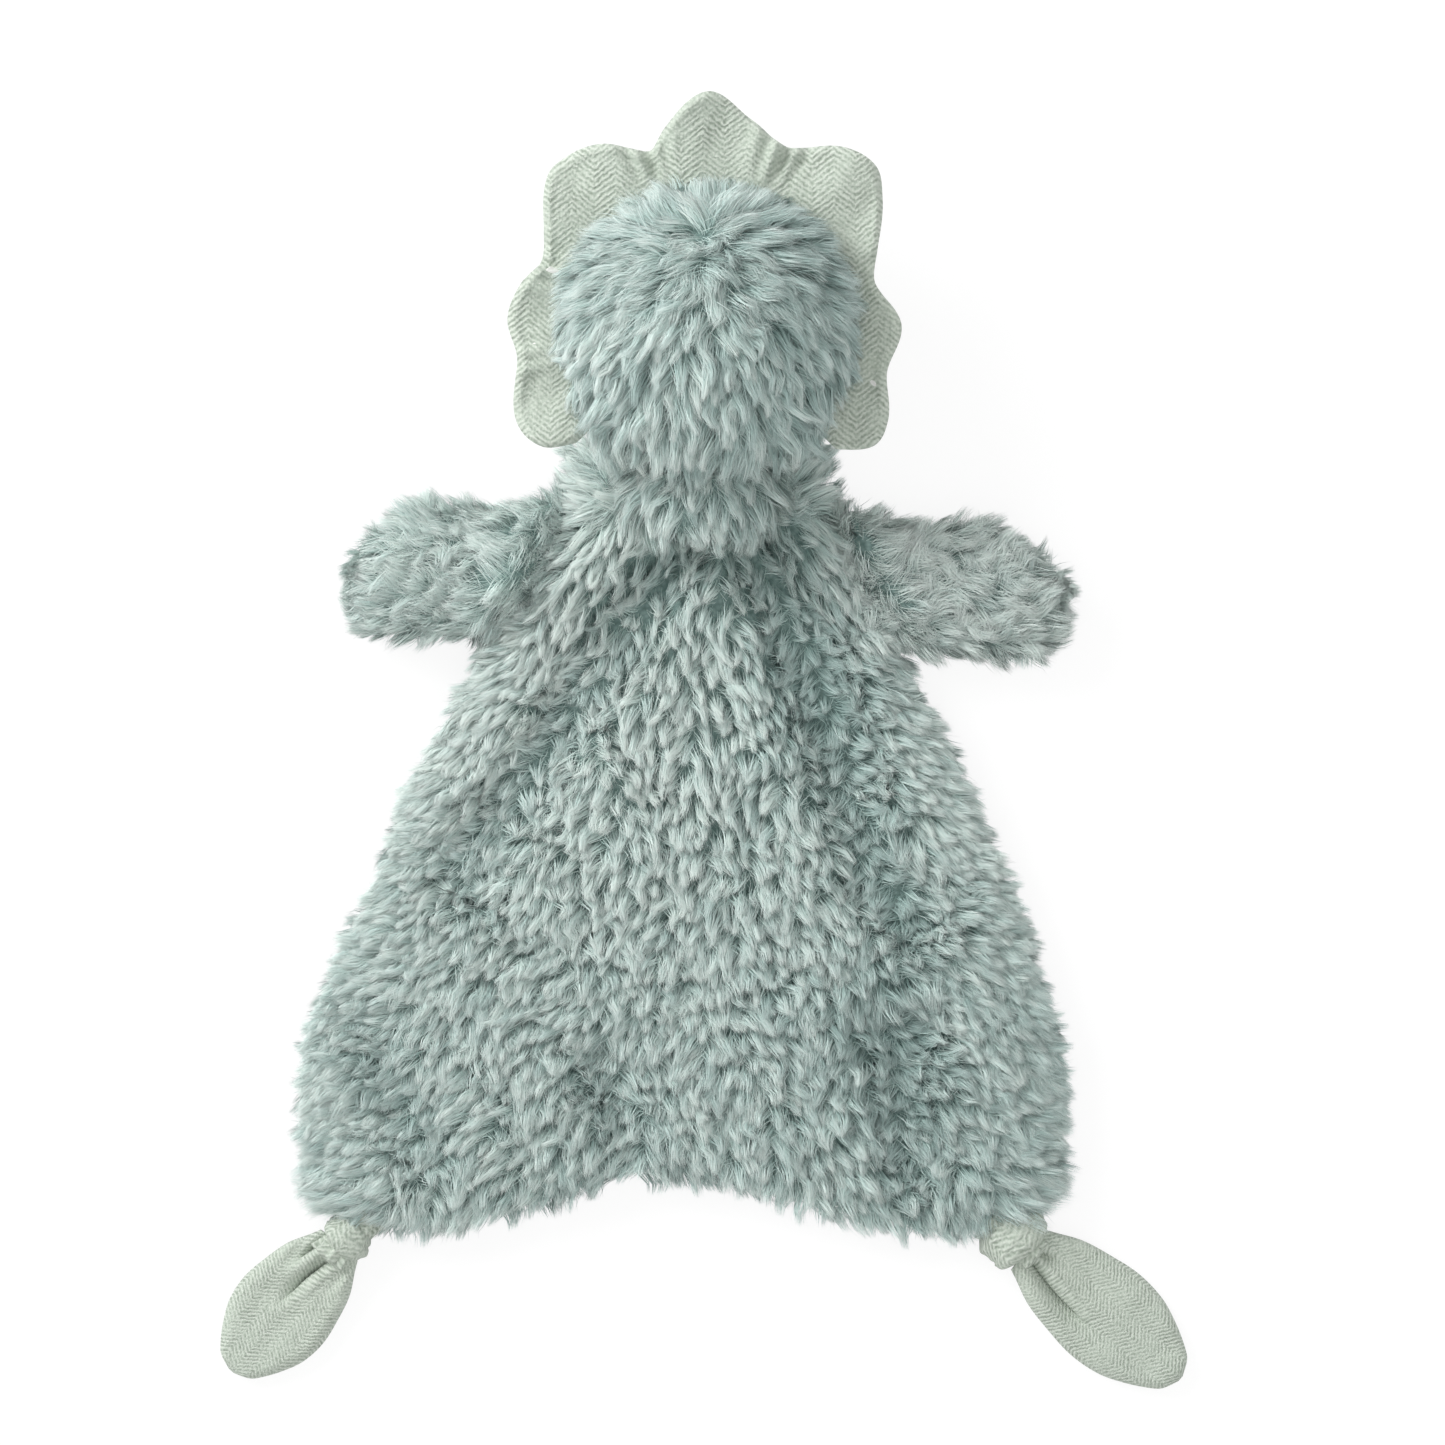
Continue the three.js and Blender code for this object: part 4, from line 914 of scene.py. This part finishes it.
def frill_points(columns, rows, side, inset=0.0):
    """A layer of the frill. side is 1 for the back, -1 for the front, and less within the wadding"""
    turn, out = np.meshgrid(np.linspace(0, 1, columns), np.linspace(0, 1, rows) ** 0.8)
    edge = inset / frill_reach
    angle = frill_start - edge + (frill_end - frill_start + 2 * edge) * turn
    cos, sin = np.cos(angle), np.sin(angle)
    inner = 1 / np.hypot(cos / (head_halves[0] - 4.5), sin / (head_halves[1] - 4.5))
    outer = frill_reach * frill_edge_at(turn) - inset
    reach = inner + (outer - inner) * out
    x, y = head_centre[0] + reach * cos, head_centre[1] + reach * sin
    ends = np.minimum(turn, 1 - turn) * (frill_start - frill_end) * reach
    rim = np.minimum((1 - out) * (outer - inner), ends) / 2.6
    seam_roll = 0.5 * bell((rim - 0.75) / 0.35)
    thick = 0.15 + (frill_half_thickness + seam_roll) * rounded_edge(rim)
    return np.stack([x, y, frill_height(turn, out, x, y) + side * thick], -1)


# Brushed cotton with a herringbone twill: its ribs are 1.55 mm apart and turn back every 5.5 mm. They are
# broken by nubs of 0.8 mm where threads cross, and stand out less where the cloth is worn smooth, which
# gives a soft matt zigzag. The map Weave is in millimetres, so a noise's scale is for each of them.
herringbone, tree = new_material("herringbone_cotton")
rib_pitch, zigzag, nub_size = 1.55, 5.5, 0.8
cloth_map = add_node(tree, "UVMap", {"uv_map": "Weave"}).outputs[0]
split = add_node(tree, "SeparateXYZ", Vector=cloth_map).outputs
chevron = add_node(tree, "Math", {"operation": "PINGPONG"}, i0=split["X"], i1=zigzag)
slant = add_node(tree, "Math", {"operation": "MULTIPLY"}, i0=chevron.outputs[0], i1=0.75)
climb = add_node(tree, "Math", {"operation": "ADD"}, i0=split["Y"], i1=slant.outputs[0])
loose = add_node(tree, "TexNoise", Vector=cloth_map, Scale=0.5, Detail=5.0).outputs["Fac"]
multiply_add = {"operation": "MULTIPLY_ADD"}
wobble = add_node(tree, "Math", multiply_add, i0=loose, i1=1.8, i2=climb.outputs[0])
pitch = add_node(tree, "Math", {"operation": "MULTIPLY"}, i0=wobble.outputs[0], i1=2 * math.pi / rib_pitch)
rib = add_node(tree, "Math", {"operation": "SINE"}, i0=pitch.outputs[0])
worn = add_node(tree, "TexNoise", Vector=cloth_map, Scale=0.09, Detail=2.0).outputs["Fac"]
relief = add_node(tree, "MapRange", Value=worn, From_Min=0.35, From_Max=0.65, To_Min=0.35, To_Max=1.0)
ribs = add_node(tree, "Math", {"operation": "MULTIPLY"}, i0=rib.outputs[0], i1=relief.outputs[0])
nubs = add_node(tree, "TexVoronoi", {"feature": "F1"}, Vector=cloth_map, Scale=1 / nub_size, Randomness=0.75)
grain = add_node(tree, "Math", multiply_add, i0=nubs.outputs["Distance"], i1=-1.7, i2=ribs.outputs[0])
slub = add_node(tree, "TexNoise", Vector=cloth_map, Scale=1.9, Detail=4.0).outputs["Fac"]
fuzz = add_node(tree, "Math", multiply_add, i0=slub, i1=1.6, i2=grain.outputs[0])
level = add_node(tree, "MapRange", Value=fuzz.outputs[0], From_Min=-1.6, From_Max=1.5)
rib_shades = [(0, "#8C9889"), (0.35, "#B3BEB1"), (0.65, "#C8D1C5"), (1, "#D9E0D6")]
finish_cloth(tree, level.outputs[0], rib_shades, 0.85, 0.15, 0.8, 0.45)


def lay_weave(obj, places):
    """Gives each point of a cloth its place on the flat weave, in millimetres"""
    corner = np.empty(len(obj.data.loops), np.int32)
    obj.data.loops.foreach_get("vertex_index", corner)
    weave_map = obj.data.uv_layers.new(name="Weave")
    weave_map.data.foreach_set("uv", places.reshape(-1, 2)[corner].astype(np.float32).ravel())


for name, side in (("back", 1), ("front", -1)):
    points = frill_points(420, 26, side)
    layer = grid_mesh(f"frill_{name}_cloth", points, herringbone)
    lay_weave(layer, points[..., :2])
    stands_for(layer, "woven_cloth", f"frill_{name}_layer")
    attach(layer, "head")
upper, lower = (frill_points(420, 20, side * wadding_share, wadding_inset) for side in (1, -1))
wadding = grid_mesh("frill_wadding_fibre", np.concatenate([upper, lower[::-1]]), fibre_material)
stands_for(wadding, "fibre_fill", "frill_wadding")
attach(wadding, "head")

# The muzzle is a cup of short-pile velboa, padded with fibre and sewn to the face. The toy rests on it.
# It is out of sight in the photograph, and is made as such toys usually are.
velboa, tree = new_material("short_pile_velboa")
# Velboa has a 1 mm nap that lies in patches: it looks like suede, soft and a little mottled.
nap_size, patch_size = 0.6 * MM, 7 * MM
place = add_node(tree, "TexCoord").outputs["Object"]
nap = add_node(tree, "TexNoise", Vector=place, Scale=1 / nap_size, Detail=4.0).outputs["Fac"]
patches = add_node(tree, "TexNoise", Vector=place, Scale=1 / patch_size, Detail=2.0).outputs["Fac"]
both = add_node(tree, "Math", {"operation": "MULTIPLY"}, i0=nap, i1=patches)
level = add_node(tree, "MapRange", Value=both.outputs[0], From_Min=0.12, From_Max=0.42)
finish_cloth(tree, level.outputs[0], [(0, "#B4C0B6"), (1, "#DDE4DA")], 0.9, 0.4, 0.6, 0.25, relief=nap)

muzzle_rim, table_gap = 64, 0.35
way, polar, _ = polar_ways(muzzle_rim, 180, 34, 96)
puffy = 0.25 * ripple(way[..., :2] * 20, 9, 91)
philtrum = 0.7 * bell(way[..., 0] / 0.1) * smooth(way[..., 1], -0.6, -0.2) * smooth(-polar, -3.0, -2.2)
rim_tuck = 1.2 * bell((np.degrees(polar) - muzzle_rim) / 7)
muzzle_points = muzzle_centre + way * (muzzle_halves - 0.3 + (puffy - philtrum - rim_tuck)[..., None])
muzzle_points[..., 2] = np.maximum(muzzle_points[..., 2], table_gap)
muzzle = grid_mesh("muzzle_velboa", muzzle_points, velboa, closed=True)
stands_for(muzzle, "muzzle_cloth", "muzzle_cover")
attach(muzzle, "head")
stuff("muzzle_stuffing", "head", 0.3, 92)

# The eyes, nostrils and mouth are satin stitch in dark polyester thread, over a little padding.
# They are plain ovals and a line, as on any such toy.
eye_halves, nostril_halves = (3.6, 4.6), (1.3, 1.9)
face_side = 17 / 39.6


def skin_point(centre, halves, way):
    """The place on a ball's skin in that direction, and the way out from it"""
    way = unit(np.array(way, float))
    return centre + way * halves, unit(way / halves)


def satin_patch(name, node, skin, halves, raise_height, spacing):
    """Rows of parallel stitches that fill an oval, domed over padding"""
    point, facing = skin
    up = unit(np.array([0.0, 1, 0]) - facing * facing[1])
    across = np.cross(up, facing)
    stitches = []
    for along in np.arange(-halves[1] + spacing / 2, halves[1], spacing):
        shorter = math.sqrt(1 - (along / halves[1]) ** 2)
        reach = halves[0] * shorter
        t = np.linspace(-1, 1, 13)
        dome = raise_height * shorter * np.sqrt(np.clip(1 - t**2, 0, 1)) + 0.1
        jitter = 0.05 * math.sin(37 * along)
        path = point + across * (t * reach)[:, None] + up * (along + jitter) + facing * dome[:, None]
        stitches.append(twist_thread(f"{name}_stitch", path, spacing * 0.56, dark_thread, pitch=1.1))
    with bpy.context.temp_override(active_object=stitches[0], selected_editable_objects=stitches):
        bpy.ops.object.join()
    patch = stitches[0]
    patch.name = name
    stands_for(patch, "dark_thread", node)
    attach(patch, "head")


for name, side in (("left", LEFT), ("right", RIGHT)):
    eye = skin_point(head_centre, head_halves - 0.5, (side * face_side, 0.36, -0.84))
    satin_patch(f"{name}_eye_embroidery", f"{name}_eye", eye, eye_halves, 0.9, 0.55)
    nostril = skin_point(muzzle_centre, muzzle_halves - 0.2, (side * 0.26, 0.6, -0.76))
    satin_patch(f"{name}_nostril_embroidery", f"{name}_nostril", nostril, nostril_halves, 0.6, 0.4)

across = np.linspace(-1, 1, 41)
mouth_way = unit(np.stack([across * 9 / 22, -0.62 + 0.2 * across**2, np.full(41, -0.72)], -1))
mouth_path = muzzle_centre + mouth_way * (muzzle_halves + 0.05)
mouth = twist_thread("mouth_embroidery", mouth_path, 0.6, dark_thread, pitch=2.2)
stands_for(mouth, "dark_thread", "mouth_stitch")
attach(mouth, "head")

# A nose horn and two brow horns are cones of cream wool felt, sewn up one side, turned and stuffed.
# Ladder stitches hold each to the face.
felt, tree = new_material("cream_wool_felt")
# Felt is fibres pressed together with no weave: an even, matt and slightly fuzzy face.
fibre_size = 0.8 * MM
place = add_node(tree, "TexCoord").outputs["Object"]
fibres = add_node(tree, "TexNoise", Vector=place, Scale=1 / fibre_size, Detail=6.0, Distortion=2.0)
finish_cloth(tree, fibres.outputs["Fac"], [(0.3, "#D2CBBA"), (0.7, "#ECE7DA")], 0.95, 0.3, 0.5, 0.15)


def add_horn(node, base, way, radius, length):
    way = unit(np.array(way, float))
    up = unit(np.cross(way, (1.0, 0, 0)))
    aside = np.cross(up, way)
    out, turn = np.meshgrid(np.linspace(-0.12, 1, 30), full_turn(48), indexing="ij")
    reach = radius * np.clip(1 - out, 0, 1.12) ** 0.85 * (1 + 0.02 * np.sin(out * 26))
    seam = 0.35 * bell((turn - math.pi) / 0.16)
    reach = np.maximum(reach - seam * (1 - out) - 0.15, 0.05)
    bend = 0.1 * length * out**2
    points = base + out[..., None] * length * way + bend[..., None] * up
    points = points + reach[..., None] * (np.cos(turn)[..., None] * aside + np.sin(turn)[..., None] * up)
    horn = grid_mesh(f"{node}_felt", points, felt, closed=True)
    stands_for(horn, "horn_cloth", node)
    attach(horn, "head")
    stuff(f"{node}_stuffing", "head", 0.2, 95)


nose_base, _ = skin_point(muzzle_centre, muzzle_halves - 1.2, (0, 0.85, -0.5))
add_horn("nose_horn", nose_base, (0, 0.9, -0.36), 6, 13)
brow_up = 27 / 37
for name, side in (("left", LEFT), ("right", RIGHT)):
    brow = (side * face_side, brow_up, -0.84 + brow_up / 2)
    brow_base, _ = skin_point(head_centre, head_halves - 1.2, brow)
    add_horn(f"{name}_brow_horn", brow_base, (side * 0.2, 0.9, -0.35), 6.5, 19)

# Each lower corner ends in a strip of the herringbone cloth, tied in a single knot with its end left
# as a leaf. The leaf is two layers sewn round the edge and turned, and creases run into it.
knot_height, leaf_height = 7.0, 3.0
core_radius, core_half_length = 4.6, 7.6
tail_width_at = curve_through(
    [(0.04, 0.44), (0.12, 0.58), (0.25, 0.83), (0.4, 0.97), (0.55, 1.05), (0.7, 0.98)]
    + [(0.82, 0.78), (0.92, 0.54), (0.98, 0.34), (1, 0.2)]
)
# each tail's knot as shares of the blanket, its heading in degrees, its sizes, and its creases: from one
# place to another, out along the leaf and across it, and how deep
tails = {
    "left": {
        "shares": (-0.943, 0.9872),
        "angle": 229.4,
        "length": 45.8,
        "start": 3.2,
        "half": 12.6,
        "wrap": 0.85,
        "band": 4.4,
        "creases": [((5.9, 2.2), (27, -2.8), 4.2), ((4.7, -2.8), (18, -7.1), 2.6)],
    },
    "right": {
        "shares": (0.8197, 0.9888),
        "angle": -40.3,
        "length": 56.3,
        "start": 5,
        "half": 12.9,
        "wrap": 1.16,
        "band": 5.8,
        "creases": [((5.6, -0.5), (34, -6.3), 4.4), ((5.7, 1.2), (13, 2.6), 1.8)],
    },
}
for number, (name, tail) in enumerate(tails.items()):
    knot_place = np.append(np.array(tail["shares"]) * (blanket_half_width, -blanket_length), 0)
    angle = math.radians(tail["angle"])
    along_way = np.array([math.cos(angle), math.sin(angle), 0])
    side_way = np.array([-math.sin(angle), math.cos(angle), 0])

    def tail_place(out, across, z):
        """Places from how far they are out from the knot, across the tail and above the table"""
        flat = knot_place + out[..., None] * along_way + across[..., None] * side_way
        return flat + z[..., None] * (0, 0, 1)

    def add_knot_cloth(piece, points, places):
        cloth = grid_mesh(f"{name}_{piece}_cloth", points, herringbone, closed=True)
        lay_weave(cloth, np.stack(places, -1))
        stands_for(cloth, "woven_cloth", f"{name}_{piece}")
        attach(cloth, f"{name}_knot")
        return cloth

    # the turn of cloth round the knot, with one fold lapped over the other
    turn, band = np.meshgrid(full_turn(90), np.linspace(-1, 1, 29))
    skew = 2.1 * np.sin(turn + 0.6)
    bulge = 3.2 * np.clip(1 - np.abs(band) ** 2.4, 0, 1) ** 0.6
    lap = 0.9 * smooth(band + 0.35 * np.sin(turn + 1), 0.02, 0.14) * (1 - np.abs(band) ** 6) - 0.3
    pleat = 0.28 * np.sin(band * 9 + 2.2 * np.sin(turn))
    pleat = pleat + 0.25 * ripple(np.stack([turn * 6, band * 6], -1), 7, 97 + number)
    reach = 4.3 + bulge + lap + pleat * (1 - np.abs(band) ** 4)
    out = band * tail["band"] + 0.55 * skew - 0.6
    wrap_z = knot_height + reach * 0.82 * np.sin(turn)
    wrap_points = tail_place(out, reach * tail["wrap"] * np.cos(turn), wrap_z)
    add_knot_cloth("knot_wrap", wrap_points, [turn * 7.5, out + 3 * np.sin(turn)])

    # the gathered cloth that passes through the knot, drawn in at both its ends
    closing = np.linspace(0.02, 0.92, 7)
    shrink = np.concatenate([closing, np.ones(17), closing[::-1]])[:, None]
    turn, band = np.meshgrid(full_turn(72), np.concatenate([-np.ones(7), np.linspace(-1, 1, 17), np.ones(7)]))
    gathered = 1 + 0.1 * np.sin(turn * 9 + band) + 0.05 * np.sin(turn * 17)
    core_reach = (core_radius + 1.1 * band**2) * gathered * shrink
    core_out = band * (core_half_length + 0.9 * (1 - shrink**2))
    core_z = knot_height + core_reach * 0.72 * np.sin(turn)
    core_points = tail_place(core_out, core_reach * np.cos(turn), core_z)
    core_places = [turn * 5, band * (core_half_length + 5 * (1 - shrink))]
    core = add_knot_cloth("knot_core", core_points, core_places)

    def tail_points(side):
        """A layer of the leaf, from the knot to its tip, and the place of each point on the weave"""
        across_steps = np.sin(np.linspace(-1, 1, 121) * math.pi / 2)
        share, across = np.meshgrid(np.linspace(0, 1, 110), across_steps, indexing="ij")
        out = tail["start"] + (tail["length"] - tail["start"]) * share
        place_share = out / tail["length"]
        half = tail["half"] * tail_width_at(place_share)
        tip_round = np.sqrt(np.clip(1 - smooth(place_share, 0.94, 1.01) ** 2, 0, 1))
        full = rounded_edge(np.minimum((1 - np.abs(across)) * half, (1 - place_share) * tail["length"]) / 3.2)
        fall = smooth(place_share, 0, 0.42)
        middle = knot_height + (leaf_height - knot_height) * fall
        fullness = 2.3 + (1.4 if side > 0 else -0.2) * np.sin(math.pi * np.clip(0.15 + place_share, 0, 1))
        z = middle + side * fullness * full * (0.75 + 0.25 * fall)
        across = across * half
        lip = np.zeros_like(z)
        for start, end, depth in tail["creases"] if side > 0 else ():
            start, run = np.array(start), np.subtract(end, start)
            walked = ((out - start[0]) * run[0] + (across - start[1]) * run[1]) / (run @ run)
            away = ((across - start[1]) * run[0] - (out - start[0]) * run[1]) / math.hypot(*run)
            fade = smooth(walked, -0.25, 0.15) * (1 - smooth(walked, 0.35, 1.05))
            width = np.where(away > 0, 0.9, 2.4) * (0.6 + 0.8 * np.clip(walked, 0, 1))
            z -= depth * fade * np.exp(-np.abs(away / width) ** 1.5)
            z += 0.22 * depth * fade * bell((np.abs(away) / width) - 2.2)
            lip -= 0.42 * depth * fade * (away > 0) * bell((away / width) - 1.1)
        pucker = 0.3 * np.sin(across * 1.9 + 0.6) * (1 - smooth(place_share, 0.12, 0.4))
        z += pucker * full + 0.22 * full * ripple(np.stack([out, across], -1), 9, 98 + number)
        z = np.maximum(z, 0.45)
        return tail_place(out, across * tip_round + lip, z), np.stack([across, out], -1)

    for layer_name, side in (("back", 1), ("front", -1)):
        points, weave_places = tail_points(side)
        leaf = grid_mesh(f"{name}_tail_{layer_name}_cloth", points, herringbone)
        lay_weave(leaf, weave_places * 1.35)
        stands_for(leaf, "woven_cloth", f"{name}_tail_{layer_name}_layer")
        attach(leaf, f"{name}_tail")
